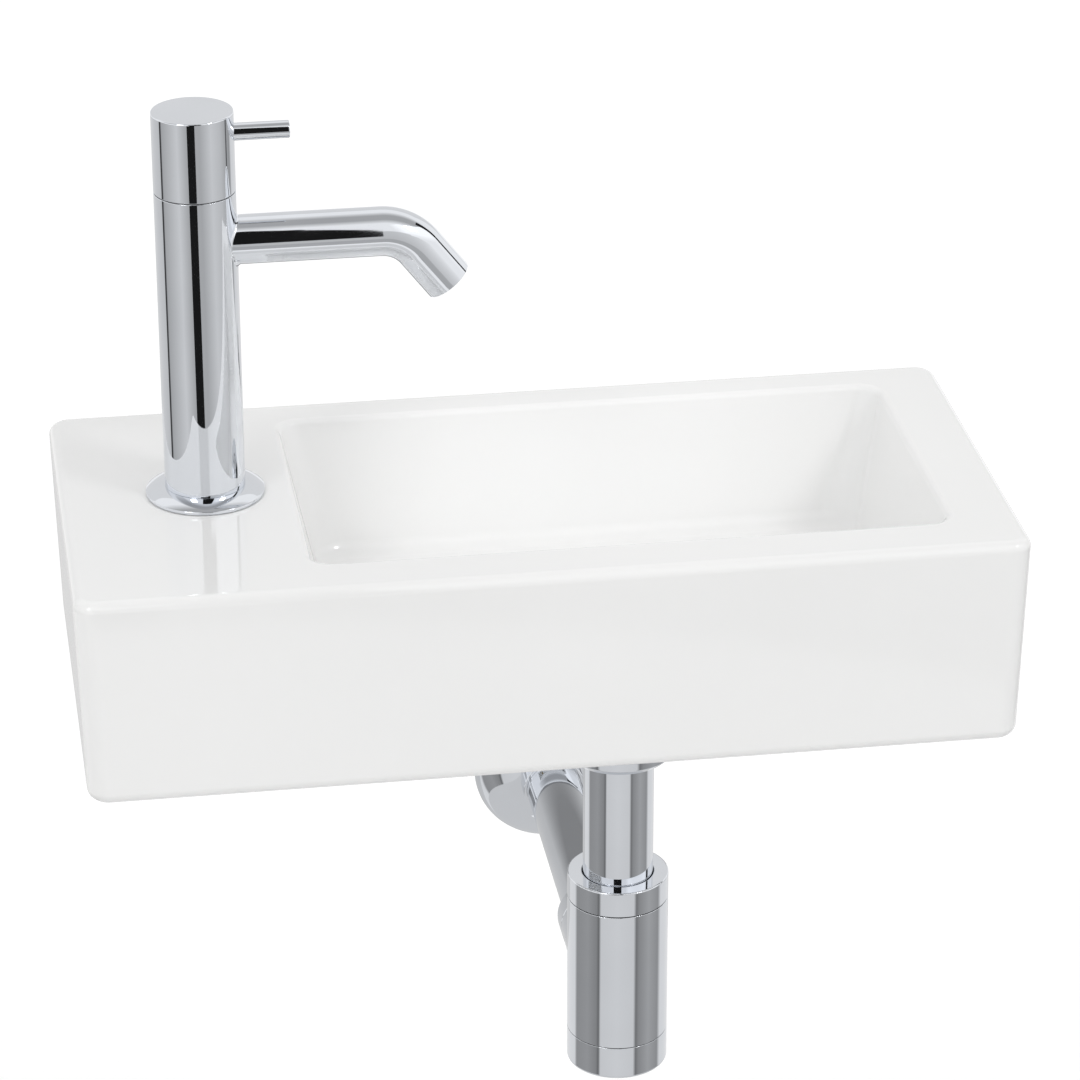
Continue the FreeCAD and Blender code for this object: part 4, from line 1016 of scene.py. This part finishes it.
# %% Head
HEAD_FOOT = 132.2
HEAD_TOP = 165.5
HEAD_ROUND = 0.6
RECESS_R = 13.6
RECESS_TOP = 144.5
SPLINE_R = 4.05
SPLINE_TOP = 152.8
GRUB_UP = 149.0
GRUB_HOLE_R = 2.1
head = spun_piece("tap_head", [
    (0, SPLINE_TOP), (SPLINE_R, SPLINE_TOP), (SPLINE_R, RECESS_TOP), (RECESS_R, RECESS_TOP),
    (RECESS_R, HEAD_FOOT), (COLUMN_R, HEAD_FOOT, SEAM_ROUND), (COLUMN_R, HEAD_TOP, HEAD_ROUND),
    (0, HEAD_TOP),
], at_tap)
at_grub = at_tap @ Matrix.Translation((0.0, 0.0, GRUB_UP * MM)) @ backwards
carve(head, rod("tool_grub_hole", GRUB_HOLE_R, start=3, end=20, place=at_grub))
complete(head, "handle", "bright_chrome", "handle_cap")

# %% [markdown]
# The lever is a short rod that screws into the head by a thinner stud. A plain cylinder would look the same
# from afar, but the rounding at its end catches the light.

# %% Lever
LEVER_UP = 155.7
LEVER_R = 3.6
LEVER_START = 16.1
LEVER_END = 38.5
LEVER_ROUND = 0.45
STUD_R = 2.5
STUD_START = 7.5
at_lever = at_tap @ Matrix.Translation((0.0, 0.0, LEVER_UP * MM)) @ sideways
lever = spun_piece("tap_lever", [
    (0, STUD_START), (STUD_R, STUD_START), (STUD_R, LEVER_START),
    (LEVER_R, LEVER_START), (LEVER_R, LEVER_END, LEVER_ROUND), (0, LEVER_END),
], at_lever)
complete(lever, "handle", "bright_chrome", "lever_pin")

# %% [markdown]
# ## The spout
#
# The spout is a bent tube. A curve with a bevel would do, but a node tree keeps its sizes as named inputs.
# It sweeps a circle along the tube's middle line and leaves an open skin. The helpers below start and end a
# tree, and are used again for the strainer.

# %% Helpers for geometry trees
LENGTH = "NodeSocketFloat"
COUNT = "NodeSocketInt"
FINISH = "NodeSocketMaterial"


def geometry_tree(name, inputs):
    """A tree that takes a shape and named inputs. Gives back the tree and the inputs' identifiers."""
    tree = bpy.data.node_groups.new(name, "GeometryNodeTree")
    tree.interface.new_socket("Shape", in_out="INPUT", socket_type="NodeSocketGeometry")
    identifiers = {}
    for label, kind in inputs.items():
        identifiers[label] = tree.interface.new_socket(label, in_out="INPUT", socket_type=kind).identifier
    tree.interface.new_socket("Result", in_out="OUTPUT", socket_type="NodeSocketGeometry")
    return tree, identifiers


def end_tree(tree, given, made):
    """Makes instances real, sets the finish and hands the shape out."""
    realize = node(tree, "GeometryNodeRealizeInstances")
    coat = node(tree, "GeometryNodeSetMaterial")
    result = node(tree, "NodeGroupOutput")
    wire(tree,
         (made, realize.inputs["Geometry"]),
         (realize.outputs["Geometry"], coat.inputs["Geometry"]),
         (given.outputs["Finish"], coat.inputs["Material"]),
         (coat.outputs["Geometry"], result.inputs["Result"]))
    print("tree", tree.name, "with", len(tree.nodes), "nodes")


def run_tree(piece, tree, identifiers, values):
    """Adds a tree to a piece. Its inputs are set by identifier, before the piece is evaluated."""
    step = piece.modifiers.new(tree.name, "NODES")
    step.node_group = tree
    for label, value in values.items():
        step[identifiers[label]] = value


print("helpers for geometry trees ready")

# %% Node tree that sweeps a tube
tube_tree, tube_inputs = geometry_tree("tube_along_line", {
    "Radius": LENGTH, "Sides": COUNT, "Finish": FINISH})
given = node(tube_tree, "NodeGroupInput")
circle = node(tube_tree, "GeometryNodeCurvePrimitiveCircle")
sweep = node(tube_tree, "GeometryNodeCurveToMesh")
wire(tube_tree,
     (given.outputs["Shape"], sweep.inputs["Curve"]),
     (given.outputs["Radius"], circle.inputs["Radius"]),
     (given.outputs["Sides"], circle.inputs["Resolution"]),
     (circle.outputs["Curve"], sweep.inputs["Profile Curve"]))
end_tree(tube_tree, given, sweep.outputs["Mesh"])

# %% [markdown]
# The middle line has a level run, a bend and a straight tip. Its points lie closer in the bend, where the
# shading turns, and the runs have a few, so that the faces don't grow too long.

# %% Middle line of the spout
SPOUT_RUN = 74.0
BEND_R = 20.0
BEND = math.radians(52)
BEND_STEPS = 32
TIP_L = 19.0
ROOT_END = 20.0
RUN_STOPS = (ROOT_END, 30.0, 40.0, 50.0, 60.0, 68.0)
TIP_SHARES = (0.1, 0.3, 0.6, 0.9, 1.0)
line = [(x, SPOUT_UP) for x in RUN_STOPS]
for step in range(BEND_STEPS + 1):
    angle = BEND * step / BEND_STEPS
    line.append((SPOUT_RUN + BEND_R * math.sin(angle), SPOUT_UP - BEND_R * (1 - math.cos(angle))))
end_x, end_z = line[-1]
for share in TIP_SHARES:
    line.append((end_x + TIP_L * share * math.cos(BEND), end_z - TIP_L * share * math.sin(BEND)))
path = bpy.data.curves.new("spout_line", "CURVE")
path.dimensions = "3D"
spline = path.splines.new("POLY")
spline.points.add(len(line) - 1)
for point, (x, z) in zip(spline.points, line):
    point.co = (*(TAP_AXIS + Vector((x, 0.0, z)) * MM), 1.0)
path_object = new_object("spout_line", path)
print("points on the line:", len(line))

# %% Skin of the spout
SPOUT_R = 10.1
SPOUT_SIDES = 96
run_tree(path_object, tube_tree, tube_inputs,
         {"Radius": SPOUT_R * MM, "Sides": SPOUT_SIDES, "Finish": FINISHES["bright_chrome"]})
bpy.context.view_layer.update()
graph = bpy.context.evaluated_depsgraph_get()
skin = bpy.data.meshes.new_from_object(path_object.evaluated_get(graph), depsgraph=graph)
bpy.data.objects.remove(path_object)
spout = new_object("tap_spout_tube", skin)
print("swept skin:", len(skin.polygons), "faces")

# %% [markdown]
# Where the spout meets the column the metal is faired in, as if a ball had been rolled along the corner. A
# boolean would leave a hard corner there. So further rings are added to the skin, from the spout's side of
# the ball to the column's.

# %% Fair the spout into the column
ROOT_R = 1.5
ROOT_STEPS = 8
SAME_PLACE = 1e-6


def root_point(angle, share):
    """A point on the ball that rolls between spout and column, from the spout's side to the column's."""
    away = SPOUT_R + ROOT_R
    y = away * math.cos(angle)
    ball = Vector((math.sqrt((COLUMN_R + ROOT_R) ** 2 - y ** 2), y, away * math.sin(angle)))
    on_spout = Vector((ball.x, SPOUT_R * math.cos(angle), SPOUT_R * math.sin(angle)))
    inwards = COLUMN_R / (COLUMN_R + ROOT_R)
    on_column = Vector((ball.x * inwards, ball.y * inwards, ball.z))
    return ball + (on_spout - ball).normalized().slerp((on_column - ball).normalized(), share) * ROOT_R


mesh = bmesh.new()
mesh.from_mesh(skin)
middle = TAP_AXIS + Vector((0.0, 0.0, SPOUT_UP)) * MM
start_x = TAP_AXIS.x + ROOT_END * MM
ring = [v for v in mesh.verts if abs(v.co.x - start_x) < SAME_PLACE]
ring.sort(key=lambda v: math.atan2(v.co.z - middle.z, v.co.y - middle.y))
angles = [math.atan2(v.co.z - middle.z, v.co.y - middle.y) for v in ring]
for step in range(ROOT_STEPS + 1):
    points = [middle + root_point(angle, step / ROOT_STEPS) * MM for angle in angles]
    next_ring = [mesh.verts.new(point) for point in points]
    join_rings(mesh, ring, next_ring)
    ring = next_ring
bmesh.ops.recalc_face_normals(mesh, faces=mesh.faces)
top_face = max(mesh.faces, key=lambda f: f.calc_center_median().z)
if top_face.normal.z < 0:
    bmesh.ops.reverse_faces(mesh, faces=mesh.faces)
mesh.to_mesh(skin)
mesh.free()
print("faired skin:", len(skin.polygons), "faces")

# %% [markdown]
# The skin is open at both ends. A second sweep could make the inside. Solidify is simpler: it gives the skin
# its wall, inwards, so the outside keeps its size. Bevel then softens the lip at the mouth.

# %% Wall and lip of the spout
SPOUT_WALL = 2.0
LIP_R = 0.45
LIP_SEGMENTS = 3
LIP_ABOVE = math.radians(60)
wall_step = spout.modifiers.new("wall", "SOLIDIFY")
wall_step.thickness = SPOUT_WALL * MM
wall_step.offset = -1.0
lip_step = spout.modifiers.new("lip", "BEVEL")
lip_step.width = LIP_R * MM
lip_step.segments = LIP_SEGMENTS
lip_step.limit_method = "ANGLE"
lip_step.angle_limit = LIP_ABOVE
settle(spout)
complete(spout, "basin_set", "bright_chrome", "tap_spout")

# %% [markdown]
# ## The waste
#
# The strainer sits in the bowl's floor. Its holes repeat in two rings, so a node tree makes them: it puts a
# drill on every point of two circles and takes the drills out of the plate. One boolean per hole in Python
# would do the same more slowly.

# %% Node tree that drills rings of holes
DRILL_SIDES = 32
drill_tree, drill_inputs = geometry_tree("rings_of_holes", {
    "Hole radius": LENGTH, "Depth": LENGTH, "Height": LENGTH, "Inner ring": LENGTH, "Inner count": COUNT,
    "Outer ring": LENGTH, "Outer count": COUNT, "Finish": FINISH})
given = node(drill_tree, "NodeGroupInput")
drill = node(drill_tree, "GeometryNodeMeshCylinder")
drill.inputs["Vertices"].default_value = DRILL_SIDES
lift = node(drill_tree, "ShaderNodeCombineXYZ")
cut = node(drill_tree, "GeometryNodeMeshBoolean", operation="DIFFERENCE", solver="EXACT")
wire(drill_tree,
     (given.outputs["Hole radius"], drill.inputs["Radius"]),
     (given.outputs["Depth"], drill.inputs["Depth"]),
     (given.outputs["Height"], lift.inputs["Z"]),
     (given.outputs["Shape"], cut.inputs[0]))
for label in ("Inner", "Outer"):
    places = node(drill_tree, "GeometryNodeMeshCircle")
    raised = node(drill_tree, "GeometryNodeTransform")
    drills = node(drill_tree, "GeometryNodeInstanceOnPoints")
    real = node(drill_tree, "GeometryNodeRealizeInstances")
    wire(drill_tree,
         (given.outputs[label + " ring"], places.inputs["Radius"]),
         (given.outputs[label + " count"], places.inputs["Vertices"]),
         (places.outputs["Mesh"], raised.inputs["Geometry"]),
         (lift.outputs["Vector"], raised.inputs["Translation"]),
         (raised.outputs["Geometry"], drills.inputs["Points"]),
         (drill.outputs["Mesh"], drills.inputs["Instance"]),
         (drills.outputs["Instances"], real.inputs["Geometry"]),
         (real.outputs["Geometry"], cut.inputs[1]))
end_tree(drill_tree, given, cut.outputs["Mesh"])

# %% Strainer
PLATE_R = 32.0
PLATE_TOP = -57.0
PLATE_FOOT = -59.0
GRID_FOOT = -60.0
NECK_R = 18.6
NECK_BORE = 17.0
NECK_FOOT = -79.0
SCREW_HOLE_R = 3.3
PLATE_ROUND = 0.9
HOLE_ROUND = 0.2
strainer = spun_piece("waste_grid", [
    (SCREW_HOLE_R, GRID_FOOT), (NECK_BORE, GRID_FOOT), (NECK_BORE, NECK_FOOT), (NECK_R, NECK_FOOT),
    (NECK_R, PLATE_FOOT), (PLATE_R, PLATE_FOOT, HOLE_ROUND), (PLATE_R, PLATE_TOP, PLATE_ROUND),
    (SCREW_HOLE_R, PLATE_TOP, HOLE_ROUND),
], Matrix.Identity(4), closed=True)
run_tree(strainer, drill_tree, drill_inputs, {
    "Hole radius": 2.04 * MM, "Depth": 8.0 * MM, "Height": -58.5 * MM, "Inner ring": 8.33 * MM,
    "Inner count": 6, "Outer ring": 13.77 * MM, "Outer count": 12, "Finish": FINISHES["bright_chrome"]})
settle(strainer)
strainer.data.transform(at_drain)
complete(strainer, "basin_set", "bright_chrome", "waste_strainer")

# %% [markdown]
# The lower half of the waste clamps the basin from below. A bar across its bore takes the screw that draws
# both halves together. The bar is a block, joined on by a boolean and then drilled.

# %% Waste body
TAIL_R = 20.95
TAIL_BORE = 18.9
TAIL_FOOT = -125.5
TAIL_ROUND = 0.3
HUB_R = 24.0
HUB_FOOT = -85.0
CLAMP_R = 31.0
CLAMP_FOOT = -77.0
CLAMP_TOP = -73.0
CLAMP_ROUND = 0.4
BAR_SIZE = Vector((39.8, 8.0, 6.0))
BAR_MIDDLE = Vector((0.0, 0.0, -91.0))
BAR_HOLE_R = 3.1
waste = spun_piece("waste_lower", [
    (TAIL_BORE, TAIL_FOOT), (TAIL_R, TAIL_FOOT, TAIL_ROUND), (TAIL_R, HUB_FOOT),
    (HUB_R, HUB_FOOT, CLAMP_ROUND), (HUB_R, CLAMP_FOOT), (CLAMP_R, CLAMP_FOOT, CLAMP_ROUND),
    (CLAMP_R, CLAMP_TOP, CLAMP_ROUND), (TAIL_BORE, CLAMP_TOP),
], at_drain, closed=True)
mesh = bmesh.new()
bmesh.ops.create_cube(mesh, size=1.0)
bmesh.ops.scale(mesh, vec=BAR_SIZE * MM, verts=mesh.verts)
bmesh.ops.translate(mesh, vec=DRAIN_AXIS + BAR_MIDDLE * MM, verts=mesh.verts)
carve(waste, mesh_piece("tool_bar", mesh), "UNION")
carve(waste, rod("tool_bar_thread", BAR_HOLE_R, start=-100, end=-80, place=at_drain))
complete(waste, "basin_set", "bright_chrome", "waste_body")

# %% [markdown]
# ## The trap
#
# The trap hangs from the waste by a union nut. A tube goes down into a bottle closed by a collar above and a
# cup below, and the outlet leaves the bottle backwards. All are turned. The seams between these pieces are
# fine grooves. Dark lines could be painted there, but the roundings of the two edges that meet give them
# their shine too.

# %% Union nut
NUT_R = 24.5
NUT_TOP = -104.0
NUT_THREAD_R = 21.05
NUT_LIP_TOP = -129.5
NUT_FOOT = -132.0
NUT_FOOT_R = 22.0
NUT_FOOT_ROUND = 0.5
NUT_SIDE_ROUND = 0.9
NUT_TOP_ROUND = 0.6
SLIP_BORE = 15.5
nut = spun_piece("union_nut", [
    (SLIP_BORE, NUT_FOOT), (NUT_FOOT_R, NUT_FOOT, NUT_FOOT_ROUND), (NUT_R, NUT_LIP_TOP, NUT_SIDE_ROUND),
    (NUT_R, NUT_TOP, NUT_TOP_ROUND), (NUT_THREAD_R, NUT_TOP), (NUT_THREAD_R, NUT_LIP_TOP),
    (SLIP_BORE, NUT_LIP_TOP),
], at_drain, closed=True)
complete(nut, "basin_set", "bright_chrome", "inlet_union_nut")

# %% Inlet tube
INLET_R = 15.2
INLET_BORE = 14.2
INLET_TOP = -127.5
INLET_FOOT = -201.0
INLET_FLANGE_R = 20.65
inlet = spun_piece("inlet_pipe", [
    (INLET_BORE, INLET_FOOT), (INLET_R, INLET_FOOT), (INLET_R, NUT_LIP_TOP),
    (INLET_FLANGE_R, NUT_LIP_TOP), (INLET_FLANGE_R, INLET_TOP), (INLET_BORE, INLET_TOP),
], at_drain, closed=True)
complete(inlet, "basin_set", "bright_chrome", "inlet_tube")

# %% Collar
BOTTLE_R = 21.9
COLLAR_TOP = -190.0
COLLAR_LIP = -192.5
COLLAR_FOOT = -201.5
COLLAR_THREAD_R = 19.3
COLLAR_ROUND = 0.7
COLLAR_MOUTH_ROUND = 0.6
collar = spun_piece("bottle_collar", [
    (COLLAR_THREAD_R, COLLAR_FOOT), (BOTTLE_R, COLLAR_FOOT, SEAM_ROUND),
    (BOTTLE_R, COLLAR_TOP, COLLAR_ROUND), (SLIP_BORE, COLLAR_TOP, COLLAR_MOUTH_ROUND),
    (SLIP_BORE, COLLAR_LIP), (COLLAR_THREAD_R, COLLAR_LIP),
], at_drain, closed=True)
complete(collar, "basin_set", "bright_chrome", "trap_collar")

# %% [markdown]
# The bottle and its branch are two spun shells, joined by a boolean. The branch starts inside the bottle's
# wall, so two drills then clear the bore and the hollow. They are turned by half a side, because faces that
# lie on each other can make a boolean fail.

# %% Bottle
BOTTLE_BORE = 20.0
BOTTLE_TOP = -201.9
BOTTLE_FOOT = -267.1
SEAL_SEAT = -266.5
SEAL_SEAT_R = 21.5
SPIGOT_R = 19.2
SPIGOT_TOP = -195.5
DIP_SEAT_TOP = -202.5
DIP_SEAT_FOOT = -205.0
DIP_SEAT_R = 13.6
CUP_SEAM_ROUND = 0.15
bottle = spun_piece("trap_bottle", [
    (BOTTLE_BORE, SEAL_SEAT), (SEAL_SEAT_R, SEAL_SEAT), (SEAL_SEAT_R, BOTTLE_FOOT),
    (BOTTLE_R, BOTTLE_FOOT, CUP_SEAM_ROUND), (BOTTLE_R, BOTTLE_TOP, SEAM_ROUND),
    (SPIGOT_R, BOTTLE_TOP), (SPIGOT_R, SPIGOT_TOP), (SLIP_BORE, SPIGOT_TOP), (SLIP_BORE, DIP_SEAT_TOP),
    (DIP_SEAT_R, DIP_SEAT_TOP), (DIP_SEAT_R, DIP_SEAT_FOOT), (BOTTLE_BORE, DIP_SEAT_FOOT),
], at_drain, closed=True)
print("bottle from", BOTTLE_TOP, "to", BOTTLE_FOOT, "mm")

# %% Branch of the bottle
BRANCH_R = 17.0
BRANCH_BORE = 12.3
BRANCH_START = 13.0
BRANCH_END = 50.0
SOCKET_R = 13.4
SOCKET_START = 44.0
NOSE_R = 15.6
NOSE_END = 56.0
RING_SEAM_ROUND = 0.4
DRILL_CLEAR = 0.02
branch = spun_piece("tool_branch", [
    (BRANCH_BORE, BRANCH_START), (BRANCH_R, BRANCH_START), (BRANCH_R, BRANCH_END, RING_SEAM_ROUND),
    (NOSE_R, BRANCH_END), (NOSE_R, NOSE_END), (SOCKET_R, NOSE_END), (SOCKET_R, SOCKET_START),
    (BRANCH_BORE, SOCKET_START),
], along_outlet, closed=True)
carve(bottle, branch, "UNION")
half_side = Matrix.Rotation(math.pi / SPIN_STEPS, 4, "Z")
bore_place = along_outlet @ half_side
hollow_place = at_drain @ half_side
carve(bottle, rod("tool_wall_bore", BRANCH_BORE - DRILL_CLEAR, start=5, end=30, place=bore_place))
carve(bottle, rod("tool_hollow", BOTTLE_BORE - DRILL_CLEAR, start=-266, end=-206, place=hollow_place))
complete(bottle, "basin_set", "bright_chrome", "trap_body")

# %% [markdown]
# The cup closes the bottle from below and is unscrewed for cleaning. A sleeve stands up in it, and the water
# between sleeve and wall keeps the smell out. The two could be pieces of their own, but one outline holds
# both.

# %% Cup
CUP_FOOT = -282.8
CUP_FLOOR = -279.8
CUP_TOP = -267.4
CUP_ROUND = 1.3
CUP_SPIGOT_R = 19.9
CUP_SPIGOT_TOP = -260.5
CUP_BORE = 18.2
SLEEVE_R = 16.0
SLEEVE_BORE = 15.2
SLEEVE_TOP = -222.0
cup = spun_piece("bottle_cup", [
    (0, CUP_FOOT), (BOTTLE_R, CUP_FOOT, CUP_ROUND), (BOTTLE_R, CUP_TOP, CUP_SEAM_ROUND),
    (CUP_SPIGOT_R, CUP_TOP), (CUP_SPIGOT_R, CUP_SPIGOT_TOP), (CUP_BORE, CUP_SPIGOT_TOP),
    (CUP_BORE, CUP_FLOOR), (SLEEVE_R, CUP_FLOOR), (SLEEVE_R, SLEEVE_TOP), (SLEEVE_BORE, SLEEVE_TOP),
    (SLEEVE_BORE, CUP_FLOOR), (0, CUP_FLOOR),
], at_drain)
complete(cup, "cup", "bright_chrome", "trap_cup")

# %% [markdown]
# The outlet tube slides into a ring nut on the branch and runs back to the wall. A fine groove near its end
# marks how far it goes into the drain in the wall. Its length could be typed in, but it is read off the
# frame, so the tube ends where the CAD tube does.

# %% Outlet ring
RING_END = 61.0
RING_LIP = 58.5
RING_BORE = 13.6
RING_THREAD_R = 15.7
RING_ROUND = 0.6
RING_MOUTH_ROUND = 0.2
ring_nut = spun_piece("outlet_nut", [
    (RING_THREAD_R, BRANCH_END), (BRANCH_R, BRANCH_END, RING_SEAM_ROUND), (BRANCH_R, RING_END, RING_ROUND),
    (RING_BORE, RING_END, RING_MOUTH_ROUND), (RING_BORE, RING_LIP), (RING_THREAD_R, RING_LIP),
], along_outlet, closed=True)
complete(ring_nut, "basin_set", "bright_chrome", "outlet_ring")

# %% Outlet tube
TUBE_R = 13.3
TUBE_ROUND = 0.3
MARK_R = 13.05
MARK_W = 1.0
TUBE_END = (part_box("outlet_tube")[1].y - OUTLET_AXIS.y) / MM
ROSETTE_BACK = (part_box("wall_rosette")[1].y - OUTLET_AXIS.y) / MM
MARK_END = ROSETTE_BACK + MARK_W
outlet = spun_piece("outlet_pipe", [
    (BRANCH_BORE, SOCKET_START), (TUBE_R, SOCKET_START), (TUBE_R, ROSETTE_BACK), (MARK_R, ROSETTE_BACK),
    (MARK_R, MARK_END), (TUBE_R, MARK_END), (TUBE_R, TUBE_END, TUBE_ROUND),
    (BRANCH_BORE, TUBE_END, TUBE_ROUND),
], along_outlet, closed=True)
complete(outlet, "basin_set", "bright_chrome", "outlet_tube")

# %% [markdown]
# The rosette is a pressed dome that slides along the tube until it covers the hole in the wall. Its section
# is a quarter of an oval with a short neck, and the inside is an oval of its own, so the sheet stays thin. A
# squashed ball would have neither neck nor inside.

# %% Rosette
ROSETTE_R = 35.0
ROSETTE_T = 1.2
ROSETTE_BORE = 13.36
ROSETTE_H = 24.2
COLLET_R = 14.76
COLLET_ROUND = 0.4
DOME_H = 15.0
DOME_STEPS = 20
RIM_ROUND = 0.2


def dome_arc(outer_r, inner_r, back):
    """A quarter of an oval from the dome's wide edge to its neck."""
    angles = [math.radians(90 * step / DOME_STEPS) for step in range(DOME_STEPS + 1)]
    return [(inner_r + (outer_r - inner_r) * math.cos(a), back - DOME_H * math.sin(a)) for a in angles]


outside = dome_arc(ROSETTE_R, COLLET_R, ROSETTE_BACK - ROSETTE_T)
inside = dome_arc(ROSETTE_R - ROSETTE_T, ROSETTE_BORE, ROSETTE_BACK)
front = ROSETTE_BACK - ROSETTE_H
rosette = spun_piece("rosette_dome", [
    (ROSETTE_BORE, front), (COLLET_R, front, COLLET_ROUND), *outside[::-1],
    (ROSETTE_R, ROSETTE_BACK, RIM_ROUND), *inside,
], along_outlet, closed=True)
complete(rosette, "rosette", "bright_chrome", "wall_rosette")
